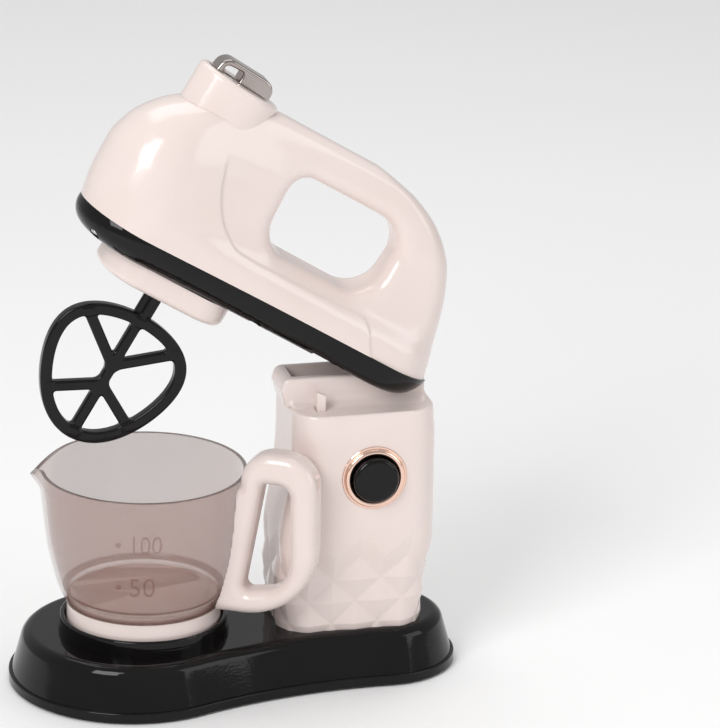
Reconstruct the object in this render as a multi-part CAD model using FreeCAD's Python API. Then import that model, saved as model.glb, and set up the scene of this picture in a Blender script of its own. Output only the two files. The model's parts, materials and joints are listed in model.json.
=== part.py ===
"""Toy stand mixer: a tilting mixer head on a stand, with a lift-off bowl.

Millimetres, +Z up. The origin is the middle of the base's footprint, at the
level that the feet stand on. The nose points along -X and the release button
is on the -Y side. Head pieces are drawn in the head's own frame (hinge axis at
the origin, head level) and then tilted open about the hinge.
"""
import FreeCAD, Part
import math
import os
from collections import namedtuple

Vector = FreeCAD.Vector
AXIS_X = Vector(1, 0, 0)
AXIS_Y = Vector(0, 1, 0)
AXIS_Z = Vector(0, 0, 1)
ORIGIN = Vector(0, 0, 0)

# ---------------------------------------------------------------- dimensions

# fits
running_gap = 0.05
screw_gap = 0.05
slide_gap = 0.3
seat_gap = 0.1

# base
front_lobe_radius = 50.0
rear_lobe_radius = 31.5
lobe_spacing = 101.5
base_waist_radius = 200.0
foot_height = 1.0
lip_height = 3.8
lip_step = 1.2
base_height = 22.0
side_inset = 6.0
shoulder_radius = 5.0
base_wall = 2.2
plate_recess = 0.6
plate_thickness = 2.0

# bowl seat on the base
seat_ring_gap = 0.8
seat_ring_wall = 2.6
seat_ring_height = 6.2
seat_ring_step = 0.7
seat_step_height = 2.8
seat_ring_round = 0.8

# stand
stand_front = 20.0
stand_rear = 78.6
stand_half_width = 25.0
stand_corner = 12.0
stand_wall = 2.4
stand_height = 93.0
ledge_thickness = 3.0
stand_swell = 6.0
stand_base_taper = 3.2
stand_shoulder_taper = 0.8

# neck that rises from the stand into the head
neck_half_width = 9.5
neck_wall = 2.8
neck_rise = 11.5
neck_rear = 75.5
neck_lean = 2.6
neck_lip_round = 2.5
neck_ramp = 9.0
neck_rim = 1.2

# hinge
hinge_x = 63.0
hinge_height = 13.0
hinge_lug_radius = 7.5
hinge_pin_radius = 2.0
hinge_pin_reach = 18.0
tilt_at_rest = 31.0

# release button, bezel and latch
button_x = 51.5
button_height = 66.3
button_radius = 9.3
button_travel = 2.5
button_proud = 3.2
button_dome = 2.4
button_skirt = 5.0
shank_radius = 4.5
bezel_outer = 13.2
bezel_proud = 2.0
bezel_sleeve_wall = 1.4
bezel_sleeve_length = 5.0
bezel_round = 0.9
latch_x = 31.2
latch_width = 3.4
latch_thickness = 2.6
latch_depth = 7.5
latch_rise = 8.0
latch_slant = 1.6
latch_room = 3.2
spring_wire = 0.7
spring_coil_radius = 3.6
spring_turns = 3.0
spring_cup_wall = 1.4

# bowl
bowl_offset = 100.0
bowl_rim_radius = 41.3
bowl_rim_height = 68.0
bowl_skirt_height = 12.6
bowl_floor_height = 16.7
bowl_floor_thickness = 2.0
bowl_wall = 1.8
spout_reach = 7.6
spout_half_width = 9.0
spout_depth = 22.0
spout_droop = 9.0
spout_dip = 2.0
bowl_skirt_share = 0.765
foot_ring_inset = 0.6
foot_ring_wall = 2.4
foot_disc_thickness = 1.8

# bowl handle, measured out from the bowl's axis and up from the base's top
bowl_turn = 30.0
grip_reach = 31.7
grip_crown = 81.3
grip_low = 12.4
grip_crown_curve = 14.0
grip_low_curve = 30.0
grip_root = 15.3
grip_bar = 10.8
grip_leg = 8.3
grip_half_thickness = 7.0
grip_round = 2.5

# head hull, measured from the hinge axis
parting_height = 1.8
head_wall = 2.0
head_nose = -146.5
head_tail = 16.0
head_nose_radius = 25.0
head_tail_radius = 22.0
head_waist_radius = 1000.0
pan_depth = 10.7
pan_wall = 2.0
slot_front = -49.0
slot_half_width = neck_half_width + 2 * slide_gap
well_wall = 1.4
stop_length = 6.0
tail_notch_top = 6.6
barrel_radius = 4.4

# opening of the head's handle
grip_front = -77.0
grip_rear = -25.0
grip_bottom = 18.5
grip_top = 51.0
grip_tight_corner = 8.0
grip_wide_corner = 13.0
grip_edge_round = 2.5

# switch collar and slider on top of the head
collar_front = -132.8
collar_rear = -96.2
collar_half_width = 13.5
collar_top = 71.6
collar_drop = 2.6
collar_wall = 2.4
collar_round = 2.0
slider_front = -127.4
slider_rear = -102.2
slider_half_width = 4.6
slider_height = 7.0
slider_bar = 2.8
slider_window = 8.0
slider_round = 1.0
slider_travel = 3.0
slider_neck_half_width = 2.4

# drive train
gear_module = 0.75
wheel_teeth = 36
pinion_teeth = 12
gear_backlash = 0.16
gear_addendum = 0.8
gear_dedendum = 1.2
pressure_angle = 20.0
wheel_thickness = 4.0
gear_level_gap = 0.5
drive_x = -100.0
frame_plate_thickness = 2.0
frame_half_width = 19.0
frame_rim = 0.3
frame_rise = 0.3
frame_post_radius = 2.3
axle_radius = 1.0
shaft_radius = 2.5
socket_radius = 4.6
hub_radius = 3.4
motor_length = 25.0
motor_radius = 10.0
motor_half_flat = 7.6
motor_nose_radius = 3.0
motor_nose_length = 1.5

# gearbox cover under the nose
cover_length = 56.0
cover_half_width = 18.0
cover_depth = 9.6
cover_corner = 15.0
cover_round = 3.0
cover_wall = 2.0
bush_wall = 1.2
lamp_offset = 21.5
lamp_radius = 2.8
lamp_proud = 1.3

# beater
beater_half_width = 28.6
beater_top = 29.3
beater_bottom = 86.6
beater_lean = 0.26
beater_square = 0.12
beater_bar = 4.8
beater_thickness = 5.0
spoke_width = 4.4
spoke_thickness = 4.0
stem_radius = 3.8
stem_rib = 2.4
upper_hub_depth = 53.0
lower_hub_depth = 61.5
upper_spoke_reach = 21.5
upper_spoke_depth = 36.5
lower_spoke_reach = 21.0
lower_spoke_depth = 73.5

# batteries
cell_radius = 7.25
cell_length = 50.0
cell_gap = 0.6
bay_wall = 1.2
contact_thickness = 0.5
contact_depth = 3.0
cell_spring_turns = 2.0

# screws
screw_radius = 1.2
screw_head_radius = 2.4
screw_head_height = 1.6
screw_length = 9.0
screw_sink = 1.0
boss_radius = 2.9

# ------------------------------------------------------------ derived places

base_top = base_height
plate_bottom = foot_height + plate_recess
plate_top = plate_bottom + plate_thickness
base_length = front_lobe_radius + lobe_spacing + rear_lobe_radius
front_lobe_x = front_lobe_radius - base_length / 2
rear_lobe_x = front_lobe_x + lobe_spacing
ledge_z = base_top + stand_height
hinge_z = ledge_z + hinge_height
hinge = Vector(hinge_x, 0, hinge_z)
neck_top_z = ledge_z + neck_rise
bowl_x = hinge_x - bowl_offset
foot_ring_radius = bowl_rim_radius * bowl_skirt_share - foot_ring_inset
seat_ring_radius = foot_ring_radius + seat_ring_gap + seat_ring_wall
button_z = base_top + button_height
pan_bottom = parting_height - pan_depth
pan_floor = pan_bottom + pan_wall
centre_distance = gear_module * (wheel_teeth + pinion_teeth) / 2
idler_x = drive_x - centre_distance
cover_bottom = pan_bottom - cover_depth

screw_spots_base = [(-78.0, 0.0), (-41.5, 34.0), (-41.5, -34.0), (12.0, 0.0)]
foot_spots = [(-72.0, 22.0), (-72.0, -22.0), (70.0, 17.0), (70.0, -17.0)]
foot_radius = 5.0
stand_boss_x = [26.0, 67.0]
stand_boss_y = 15.6
stand_boss_height = 14.0
head_screw_spots = [(-138.0, 12.3), (-64.0, 16.8), (-24.0, 16.2)]
frame_post_spots = [(-136.0, 0.0), (-109.0, 16.4), (-109.0, -16.4), (-82.2, 0.0)]

# ------------------------------------------------------------------- helpers


def cylinder(radius, height, base, axis=AXIS_Z):
    return Part.makeCylinder(radius, height, base, axis)


def tube(outer, inner, height, base, axis=AXIS_Z):
    return cylinder(outer, height, base, axis).cut(cylinder(inner, height, base, axis))


def block(x_range, y_range, z_range):
    low = Vector(x_range[0], y_range[0], z_range[0])
    size = [limit[1] - limit[0] for limit in (x_range, y_range, z_range)]
    return Part.makeBox(size[0], size[1], size[2], low)


def fuse_all(shapes):
    return shapes[0].fuse(shapes[1:]).removeSplitter()


def arc(start, middle, end):
    return Part.Arc(start, middle, end).toShape()


def rounded_polygon(corners, radii):
    """A closed wire through the corners, each one rounded by its own radius."""
    count = len(corners)
    entries, exits, middles = [], [], []
    for index, corner in enumerate(corners):
        before = (corners[index - 1] - corner).normalize()
        after = (corners[(index + 1) % count] - corner).normalize()
        half_turn = before.getAngle(after) / 2
        reach = radii[index] / math.tan(half_turn)
        inwards = (before + after).normalize()
        entries.append(corner + before * reach)
        exits.append(corner + after * reach)
        middles.append(corner + inwards * (radii[index] / math.sin(half_turn) - radii[index]))
    edges = []
    for index in range(count):
        if radii[index] > 0:
            edges.append(arc(entries[index], middles[index], exits[index]))
        start, end = exits[index], entries[(index + 1) % count]
        if start.distanceToPoint(end) > 1e-6:
            edges.append(Part.LineSegment(start, end).toShape())
    return Part.Wire(edges)


def prism(wire, travel):
    return Part.Face(wire).extrude(travel)


def rounded_plate(x_range, half_width, corner, z_range):
    """A level plate, symmetric about y = 0, with rounded corners."""
    (x0, x1), (z0, z1) = x_range, z_range
    corners = [Vector(x0, -half_width, z0), Vector(x1, -half_width, z0),
               Vector(x1, half_width, z0), Vector(x0, half_width, z0)]
    return prism(rounded_polygon(corners, [corner] * 4), AXIS_Z * (z1 - z0))


def side_prism(points, radii, y_range):
    """A side-view outline of (x, z) points, extruded across the part."""
    corners = [Vector(x, y_range[0], z) for x, z in points]
    return prism(rounded_polygon(corners, radii), AXIS_Y * (y_range[1] - y_range[0]))


def pear_outline(front_x, front_radius, rear_x, rear_radius, waist_radius, inset, z):
    """Two round ends joined by two hollow arcs that run tangent to both."""
    spacing = rear_x - front_x
    to_front = front_radius + waist_radius
    to_rear = rear_radius + waist_radius
    along = (to_front ** 2 - to_rear ** 2 + spacing ** 2) / (2 * spacing)
    across = math.sqrt(to_front ** 2 - along ** 2)
    front = Vector(front_x, 0, z)
    rear = Vector(rear_x, 0, z)
    points = {}
    for side in (-1, 1):
        waist = Vector(front_x + along, side * across, z)
        points[side] = (
            front + (waist - front).normalize() * (front_radius - inset),
            waist - AXIS_Y * (side * (waist_radius + inset)),
            rear + (waist - rear).normalize() * (rear_radius - inset),
        )
    nose = front - AXIS_X * (front_radius - inset)
    tail = rear + AXIS_X * (rear_radius - inset)
    return Part.Wire([
        arc(points[1][0], nose, points[-1][0]),
        arc(*points[-1]),
        arc(points[-1][2], tail, points[1][2]),
        arc(*reversed(points[1])),
    ])


def round_edges(shape, radius, wanted):
    """Fillets the edges that a test on their bounding box picks."""
    return shape.makeFillet(radius, [edge for edge in shape.Edges if wanted(edge.BoundBox)])


def at_height(z):
    return lambda box: abs(box.ZMin - z) < 0.01 and abs(box.ZMax - z) < 0.01


def tilted(shape):
    """Places a piece of the level head onto the hinge, tilted open."""
    placed = shape.copy()
    placed.rotate(ORIGIN, AXIS_Y, tilt_at_rest)
    placed.translate(hinge)
    return placed


def screw(tip, axis, length=screw_length):
    """A pan-head screw with its tip at a point and its head along the axis."""
    head_seat = tip + axis * length
    return cylinder(screw_radius, length, tip, axis).fuse(
        cylinder(screw_head_radius, screw_head_height, head_seat, axis))


def coil_spring(radius, wire, pitch, turns, base, axis):
    """A round-wire helix on an axis, starting at the base point."""
    steps_per_turn = 12
    points = []
    for index in range(int(turns * steps_per_turn) + 1):
        share = index / steps_per_turn
        angle = 2 * math.pi * share
        points.append(Vector(radius * math.cos(angle), radius * math.sin(angle), pitch * share))
    path = Part.BSplineCurve()
    path.interpolate(points)
    profile = Part.Wire(Part.makeCircle(wire / 2, points[0], path.tangent(path.FirstParameter)[0]))
    coil = Part.Wire(path.toShape()).makePipeShell([profile], True, True)
    coil.Placement = FreeCAD.Placement(base, FreeCAD.Rotation(AXIS_Z, axis))
    return coil


# ---------------------------------------------------------------------- base


def base_outline(inset, z):
    return pear_outline(front_lobe_x, front_lobe_radius, rear_lobe_x, rear_lobe_radius,
                        base_waist_radius, inset, z)


def base_sides(extra_inset, bottom, top):
    """The drafted sides of the base between two heights."""
    lip_top = foot_height + lip_height
    slope = (side_inset - lip_step) / (base_top - lip_top)
    insets = [lip_step + slope * (z - lip_top) + extra_inset for z in (bottom, top)]
    return Part.makeLoft([base_outline(insets[0], bottom), base_outline(insets[1], top)], True, True)


def make_base_shell():
    lip_top = foot_height + lip_height
    lip = prism(base_outline(0, foot_height), AXIS_Z * lip_height)
    lip = round_edges(lip, lip_step / 2, at_height(lip_top))
    sides = base_sides(0, foot_height + lip_height / 2, base_top)
    sides = round_edges(sides, shoulder_radius, at_height(base_top))
    cavity = base_sides(base_wall, foot_height, base_top - base_wall)
    shell = lip.fuse(sides).cut(cavity)
    bosses = [cylinder(boss_radius, base_top - base_wall / 2 - plate_top, Vector(x, y, plate_top))
              for x, y in screw_spots_base]
    seat = Vector(bowl_x, 0, base_top - base_wall / 2)
    ring_inner = seat_ring_radius - seat_ring_wall
    lower = tube(seat_ring_radius, ring_inner, base_wall / 2 + seat_step_height, seat)
    upper = tube(seat_ring_radius - seat_ring_step, ring_inner, base_wall / 2 + seat_ring_height, seat)
    upper = round_edges(upper, seat_ring_round, at_height(base_top + seat_ring_height))
    shell = fuse_all([shell, lower, upper] + bosses)
    for x, y in screw_spots_base:
        shell = shell.cut(cylinder(screw_radius + screw_gap, screw_length, Vector(x, y, plate_top)))
    for x in stand_boss_x:
        for y in (-stand_boss_y, stand_boss_y):
            hole = cylinder(screw_radius + screw_gap, base_height, Vector(x, y, 0))
            shell = shell.cut(hole)
    return shell


bay_half_length = cell_length / 2 + contact_depth
bay_half_width = 2 * cell_radius + 1.5 * cell_gap
cell_z = plate_top + cell_gap / 2 + cell_radius


def make_base_plate():
    inset = lip_step + base_wall + slide_gap
    plate = prism(base_outline(inset, plate_bottom), AXIS_Z * plate_thickness)
    bay_x = (bowl_x - bay_half_length - bay_wall, bowl_x + bay_half_length + bay_wall)
    bay_y = bay_half_width + bay_wall
    ceiling = cell_z + cell_radius + cell_gap / 2
    outer = block(bay_x, (-bay_y, bay_y), (plate_bottom, base_top - base_wall - seat_gap))
    inner = block((bay_x[0] + bay_wall, bay_x[1] - bay_wall), (-bay_half_width, bay_half_width),
                  (plate_bottom, ceiling))
    plate = plate.fuse(outer).cut(inner).removeSplitter()
    for x, y in screw_spots_base:
        plate = plate.cut(cylinder(screw_radius + screw_gap, plate_top, Vector(x, y, 0)))
        plate = plate.cut(cylinder(screw_head_radius + seat_gap, plate_bottom + screw_sink, Vector(x, y, 0)))
    for x in stand_boss_x:
        for y in (-stand_boss_y, stand_boss_y):
            plate = plate.cut(cylinder(screw_head_radius + slide_gap, plate_top, Vector(x, y, 0)))
    return plate


def make_battery_door():
    x_limits = (bowl_x - bay_half_length + seat_gap, bowl_x + bay_half_length - seat_gap)
    half = bay_half_width - seat_gap
    door = block(x_limits, (-half, half), (plate_bottom, plate_top))
    grip_x = x_limits[1] - screw_head_radius * 2
    for index in range(3):
        groove_x = grip_x - index * screw_head_radius
        door = door.cut(block((groove_x - 0.5, groove_x + 0.5), (-half / 2, half / 2),
                              (plate_bottom, plate_bottom + plate_thickness / 4)))
    return door


def cell_spots():
    spacing = cell_radius + cell_gap / 2
    return [(-1, spacing), (1, -spacing)]


def make_cells():
    cells = []
    for way, y in cell_spots():
        start = Vector(bowl_x - way * cell_length / 2, y, cell_z)
        body = cylinder(cell_radius, cell_length - 1.5, start, AXIS_X * way)
        tip = cylinder(cell_radius / 3, cell_length, start, AXIS_X * way)
        cells.append(body.fuse(tip))
    return Part.makeCompound(cells)


def make_battery_springs():
    springs = []
    for way, y in cell_spots():
        end = Vector(bowl_x - way * (bay_half_length - contact_thickness), y, cell_z)
        length = contact_depth - contact_thickness - spring_wire - seat_gap
        spring = coil_spring(cell_radius / 2, spring_wire, length / cell_spring_turns, cell_spring_turns,
                             end + AXIS_X * (way * spring_wire / 2), AXIS_X * way)
        springs.append(spring)
    return Part.makeCompound(springs)


def make_battery_contacts():
    plates = []
    for way in (-1, 1):
        x = sorted((bowl_x + way * bay_half_length, bowl_x + way * (bay_half_length - contact_thickness)))
        half = cell_radius * 0.7
        for _, y in cell_spots():
            plates.append(block(x, (y - half, y + half), (cell_z - half, cell_z + half)))
    return Part.makeCompound(plates)


def make_feet():
    return Part.makeCompound([cylinder(foot_radius, plate_bottom, Vector(x, y, 0)) for x, y in foot_spots])


def make_base_screws():
    """Screws that hold the bottom plate, driven from below."""
    length = screw_length - 1
    tip_z = plate_bottom + screw_sink + length
    return Part.makeCompound([
        screw(Vector(x, y, tip_z), AXIS_Z * -1, length) for x, y in screw_spots_base])


# --------------------------------------------------------------------- stand

StandLevel = namedtuple("StandLevel", "height front rear half_width")
stand_levels = [
    StandLevel(0.0, stand_front - stand_swell + 1.0, stand_rear - stand_base_taper,
               stand_half_width - stand_base_taper),
    StandLevel(0.2, stand_front - stand_swell, stand_rear - stand_base_taper * 0.6,
               stand_half_width - stand_base_taper * 0.5),
    StandLevel(0.42, stand_front - stand_swell * 0.75, stand_rear, stand_half_width),
    StandLevel(0.65, stand_front - stand_swell * 0.2, stand_rear, stand_half_width),
    StandLevel(0.85, stand_front, stand_rear, stand_half_width),
    StandLevel(1.0, stand_front, stand_rear - stand_shoulder_taper, stand_half_width - stand_shoulder_taper / 2),
]


def stand_loft(inset, bottom, top):
    """The barrel-shaped stand, cut to a band of heights."""
    wires = []
    for level in stand_levels:
        z = base_top + level.height * stand_height
        half = level.half_width - inset
        corners = [Vector(level.front + inset, -half, z), Vector(level.rear - inset, -half, z),
                   Vector(level.rear - inset, half, z), Vector(level.front + inset, half, z)]
        wires.append(rounded_polygon(corners, [stand_corner - inset] * 4))
    body = Part.makeLoft(wires, True, False)
    reach = base_length
    return body.common(block((-reach, reach), (-reach, reach), (bottom, top)))


def neck_profile():
    return [(stand_front, ledge_z), (stand_front - neck_lean, neck_top_z - neck_rise * 0.45),
            (stand_front - neck_lean * 0.4, neck_top_z), (neck_rear, neck_top_z), (neck_rear, ledge_z)]


def neck_trough(growth):
    """The hollow between the neck's side walls, which runs down through the ledge."""
    half = neck_half_width - neck_wall + growth
    front = stand_front + neck_wall / 2 - growth
    rear = neck_rear - neck_wall + growth
    top, bottom = hinge_z + hinge_lug_radius, ledge_z - 2 * ledge_thickness
    return side_prism([(front, top), (front, neck_top_z - neck_lip_round / 2),
                       (front + neck_ramp, neck_top_z - neck_ramp), (front + neck_ramp, bottom),
                       (rear, bottom), (rear, top)], [0, 0, neck_lip_round, 0, 0, 0], (-half, half))


def make_neck():
    """The upright on the ledge that carries the hinge, with a rim that locates it in the ledge."""
    sides = (-neck_half_width, neck_half_width)
    neck = side_prism(neck_profile(), [0, neck_lip_round * 2, neck_lip_round, neck_lip_round, 0], sides)
    lug = cylinder(hinge_lug_radius, 2 * neck_half_width, hinge - AXIS_Y * neck_half_width, AXIS_Y)
    reach = base_length
    in_ledge = block((-reach, reach), (-reach, reach), (ledge_z - ledge_thickness, ledge_z))
    rim = neck_trough(neck_rim).common(in_ledge)
    neck = neck.fuse([lug, rim]).cut(neck_trough(0))
    return neck.cut(cylinder(hinge_pin_radius + running_gap, 2 * hinge_pin_reach,
                             hinge - AXIS_Y * hinge_pin_reach, AXIS_Y))


def make_stand_shell():
    outer = stand_loft(0, base_top, ledge_z)
    inner = stand_loft(stand_wall, base_top, ledge_z - ledge_thickness)
    shell = outer.cut(inner).cut(neck_trough(neck_rim + seat_gap))
    bosses = []
    for x in stand_boss_x:
        for y in (-stand_boss_y, stand_boss_y):
            bosses.append(cylinder(boss_radius + stand_wall / 2, stand_boss_height, Vector(x, y, base_top)))
    cup_front = Vector(button_x, latch_y() + latch_thickness + button_travel + slide_gap, button_z)
    cup_radius = spring_coil_radius + spring_wire / 2 + slide_gap
    cup_length = spring_length() + spring_cup_wall
    cup = cylinder(cup_radius + spring_cup_wall, cup_length, cup_front, AXIS_Y)
    cup_back = cup_front.y + cup_length
    web = block((stand_front, stand_rear - stand_wall / 2), (cup_back - spring_cup_wall, cup_back),
                (button_z - cup_radius, button_z + cup_radius))
    web = web.common(outer)
    shell = fuse_all([shell, cup, web] + [boss.common(outer) for boss in bosses])
    shell = shell.cut(cylinder(cup_radius, cup_length - spring_cup_wall, cup_front, AXIS_Y))
    for x in stand_boss_x:
        for y in (-stand_boss_y, stand_boss_y):
            shell = shell.cut(cylinder(screw_radius + screw_gap, screw_length, Vector(x, y, base_top)))
    wall_outside = Vector(button_x, -stand_half_width - bezel_proud, button_z)
    shell = shell.cut(cylinder(bezel_inner() + bezel_sleeve_wall + seat_gap, 3 * stand_wall, wall_outside, AXIS_Y))
    shell = shell.cut(cylinder(bezel_outer + seat_gap, bezel_proud, wall_outside, AXIS_Y))
    slot_x = (latch_x - latch_width / 2 - slide_gap, latch_x + latch_width / 2 + slide_gap)
    slot_y = (latch_y() - slide_gap, latch_y() + latch_thickness + button_travel + slide_gap)
    return shell.cut(block(slot_x, slot_y, (ledge_z - 2 * ledge_thickness, ledge_z + 1)))


def make_stand_screws():
    """Screws from inside the base up into the stand's feet."""
    tip_z = base_top + screw_length - 1.5
    length = tip_z - (base_top - base_wall)
    return Part.makeCompound([
        screw(Vector(x, y, tip_z), AXIS_Z * -1, length)
        for x in stand_boss_x for y in (-stand_boss_y, stand_boss_y)])


def make_hinge_pin():
    return cylinder(hinge_pin_radius, 2 * hinge_pin_reach, hinge - AXIS_Y * hinge_pin_reach, AXIS_Y)


# ----------------------------------------------------- release button, latch


def bezel_inner():
    return button_radius + slide_gap


def latch_y():
    """The latch plate's outer face, with the button out."""
    return -stand_half_width + latch_depth


def spring_length():
    return 2 * spring_turns * 2 * spring_wire * 0.8


def make_button_bezel():
    face = Vector(button_x, -stand_half_width, button_z)
    ring = tube(bezel_outer, bezel_inner(), bezel_proud, face, AXIS_Y * -1)
    front = -stand_half_width - bezel_proud
    ring = ring.makeFillet(bezel_round, [e for e in ring.Edges
                                         if abs(e.BoundBox.YMin - front) < 0.01 and abs(e.BoundBox.YMax - front) < 0.01])
    sleeve = tube(bezel_inner() + bezel_sleeve_wall, bezel_inner(), bezel_sleeve_length, face, AXIS_Y)
    return ring.fuse(sleeve).removeSplitter()


def make_release_button():
    rim_y = -stand_half_width - bezel_proud - button_proud + button_dome
    centre = Vector(button_x, rim_y, button_z)
    cap = cylinder(button_radius, button_skirt + button_dome, centre, AXIS_Y)
    dome_radius = (button_radius ** 2 + button_dome ** 2) / (2 * button_dome)
    ball = Part.makeSphere(dome_radius, centre + AXIS_Y * (dome_radius - button_dome))
    dome = ball.common(cylinder(button_radius, button_dome, centre, AXIS_Y * -1))
    shank_length = latch_y() - rim_y - button_skirt
    shank = cylinder(shank_radius, shank_length, centre + AXIS_Y * button_skirt, AXIS_Y)
    return fuse_all([cap, dome, shank])


def make_latch():
    """A flat lever behind the button whose finger stands up through the ledge."""
    y0 = latch_y()
    y1 = y0 + latch_thickness
    pad = cylinder(shank_radius + 2, latch_thickness, Vector(button_x, y0, button_z), AXIS_Y)
    knee_z = ledge_z - ledge_thickness - latch_width * 2
    half = latch_width / 2
    arm = side_prism([(button_x - shank_radius, button_z - shank_radius), (button_x + shank_radius, button_z + half),
                      (latch_x + half, knee_z + latch_width), (latch_x - half, knee_z + latch_width),
                      (latch_x - half, knee_z - half)],
                     [0] * 5, (y0, y1))
    top = ledge_z + latch_rise
    finger = side_prism([(latch_x - half, knee_z), (latch_x + half, knee_z),
                         (latch_x + half, top - latch_slant), (latch_x - half, top)], [0] * 4, (y0, y1))
    return fuse_all([pad, arm, finger])


def make_button_spring():
    """The return spring, which stands on the lever and reaches into the stand's cup."""
    base = Vector(button_x, latch_y() + latch_thickness + spring_wire / 2, button_z)
    pitch = (spring_length() - spring_wire) / spring_turns
    return coil_spring(spring_coil_radius, spring_wire, pitch, spring_turns, base, AXIS_Y)


# ---------------------------------------------------------------------- bowl


def turned(shape):
    """Turns a piece of the bowl in its seat, so that the handle stands clear of the stand."""
    placed = shape.copy()
    placed.rotate(Vector(bowl_x, 0, 0), AXIS_Z, -bowl_turn)
    return placed


def bowl_profile(inset):
    """Radius and height of the bowl's side, from the skirt up to the rim."""
    shares = [(0.0, bowl_skirt_share), (0.12, 0.835), (0.28, 0.893), (0.45, 0.941), (0.7, 0.978), (1.0, 1.0)]
    depth = bowl_rim_height - bowl_skirt_height
    return [(bowl_rim_radius * share - inset, base_top + bowl_skirt_height + depth * height)
            for height, share in shares]


def bowl_solid(inset, floor_z):
    """The bowl's side profile turned about its axis and cut off level at the floor."""
    points = [Vector(bowl_x + radius, 0, z) for radius, z in bowl_profile(inset)]
    side = Part.BSplineCurve()
    side.interpolate(points)
    axis_low = Vector(bowl_x, 0, points[0].z)
    axis_high = Vector(bowl_x, 0, points[-1].z)
    outline = Part.Wire([side.toShape(),
                         Part.LineSegment(points[-1], axis_high).toShape(),
                         Part.LineSegment(axis_high, axis_low).toShape(),
                         Part.LineSegment(axis_low, points[0]).toShape()])
    solid = Part.Face(outline).revolve(axis_low, AXIS_Z, 360)
    if floor_z <= points[0].z:
        return solid
    reach = 2 * bowl_rim_radius
    return solid.common(block((bowl_x - reach, bowl_x + reach), (-reach, reach), (floor_z, points[-1].z)))


def spout_cone(inset):
    """A beak on the rim: a leaning cone that opens upwards and forwards."""
    rim_z = base_top + bowl_rim_height
    start = bowl_rim_radius * 0.9
    tip = start + (bowl_rim_radius + spout_reach - inset - start) / (1 - spout_droop / spout_depth)
    wires = []
    for share in (0.0, 1.0):
        reach = start + (tip - start) * share
        half = max(spout_half_width * share, 0.6)
        z = rim_z - spout_depth * (1 - share)
        root = bowl_x - bowl_rim_radius * 0.8
        corners = [Vector(root, -half * 1.6, z), Vector(bowl_x - reach, 0, z), Vector(root, half * 1.6, z)]
        wires.append(rounded_polygon(corners, [0, 0.4 + 1.2 * share, 0]))
    return Part.makeLoft(wires, True, True)


def make_bowl():
    floor_z = base_top + bowl_floor_height
    outer = bowl_solid(0, 0).fuse(spout_cone(0))
    inner = bowl_solid(bowl_wall, floor_z).fuse(spout_cone(bowl_wall))
    bowl = outer.cut(inner)
    pocket = bowl_solid(bowl_wall, 0)
    reach = 2 * bowl_rim_radius
    pocket = pocket.common(block((bowl_x - reach, bowl_x + reach), (-reach, reach),
                                 (base_top, floor_z - bowl_floor_thickness)))
    rim_z = base_top + bowl_rim_height
    dip_x = bowl_x - bowl_rim_radius + spout_dip
    far_x = dip_x - 3 * (spout_reach + spout_dip)
    dip = side_prism([(far_x, rim_z + 1), (far_x, rim_z - 3 * spout_droop), (dip_x, rim_z), (dip_x, rim_z + 1)],
                     [0] * 4, (-reach, reach))
    return turned(bowl.cut([pocket, dip]).removeSplitter())


def make_bowl_foot():
    """The cream foot: a ring that stands in the seat and a disc under the bowl's floor."""
    ring_height = bowl_skirt_height
    ring = tube(foot_ring_radius, foot_ring_radius - foot_ring_wall, ring_height, Vector(bowl_x, 0, base_top))
    disc_top = bowl_floor_height - bowl_floor_thickness
    collar_radius = bowl_profile(bowl_wall)[0][0] - seat_gap
    disc = cylinder(collar_radius, disc_top - ring_height + foot_disc_thickness,
                    Vector(bowl_x, 0, base_top + ring_height - foot_disc_thickness))
    hollow = cylinder(foot_ring_radius - foot_ring_wall, disc_top - foot_disc_thickness, Vector(bowl_x, 0, base_top))
    return ring.fuse(disc).cut(hollow).removeSplitter()


def make_bowl_handle():
    """A closed D-shaped grip whose inner leg follows the bowl's side."""
    root, reach = bowl_x + bowl_rim_radius - grip_root, bowl_x + bowl_rim_radius + grip_reach
    crown, low = base_top + grip_crown, base_top + grip_low
    rim_side, rim_z = bowl_x + bowl_rim_radius, base_top + bowl_rim_height
    half = grip_half_thickness
    outer = side_prism([(root, low), (reach, low), (reach, crown), (rim_side + 3.2, crown),
                        (rim_side + 2.4, rim_z - 4.0), (root, rim_z - 4.0)],
                       [0, grip_low_curve, grip_crown_curve, grip_crown_curve - 1, 0, 0], (-half, half))
    leg_top, leg_low = rim_side + grip_leg + 1.2, bowl_x + foot_ring_radius + grip_leg + 3.2
    window = side_prism([(leg_low, low + 9.3), (reach - grip_bar, low + 12.3),
                         (reach - grip_bar, crown - 13.0), (leg_top, crown - 13.0)],
                        [2.5, 12.0, 5.0, 2.5], (-half, half))
    grip = outer.cut(window)
    grip = round_edges(grip, grip_round, lambda box: box.YLength < 0.01 and box.XMax > root + 0.1)
    foot_room = cylinder(foot_ring_radius + seat_gap, base_top + bowl_skirt_height, Vector(bowl_x, 0, 0))
    return turned(grip.cut([bowl_solid(-seat_gap, 0), foot_room]))


# ---------------------------------------------------------------- head shell

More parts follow.
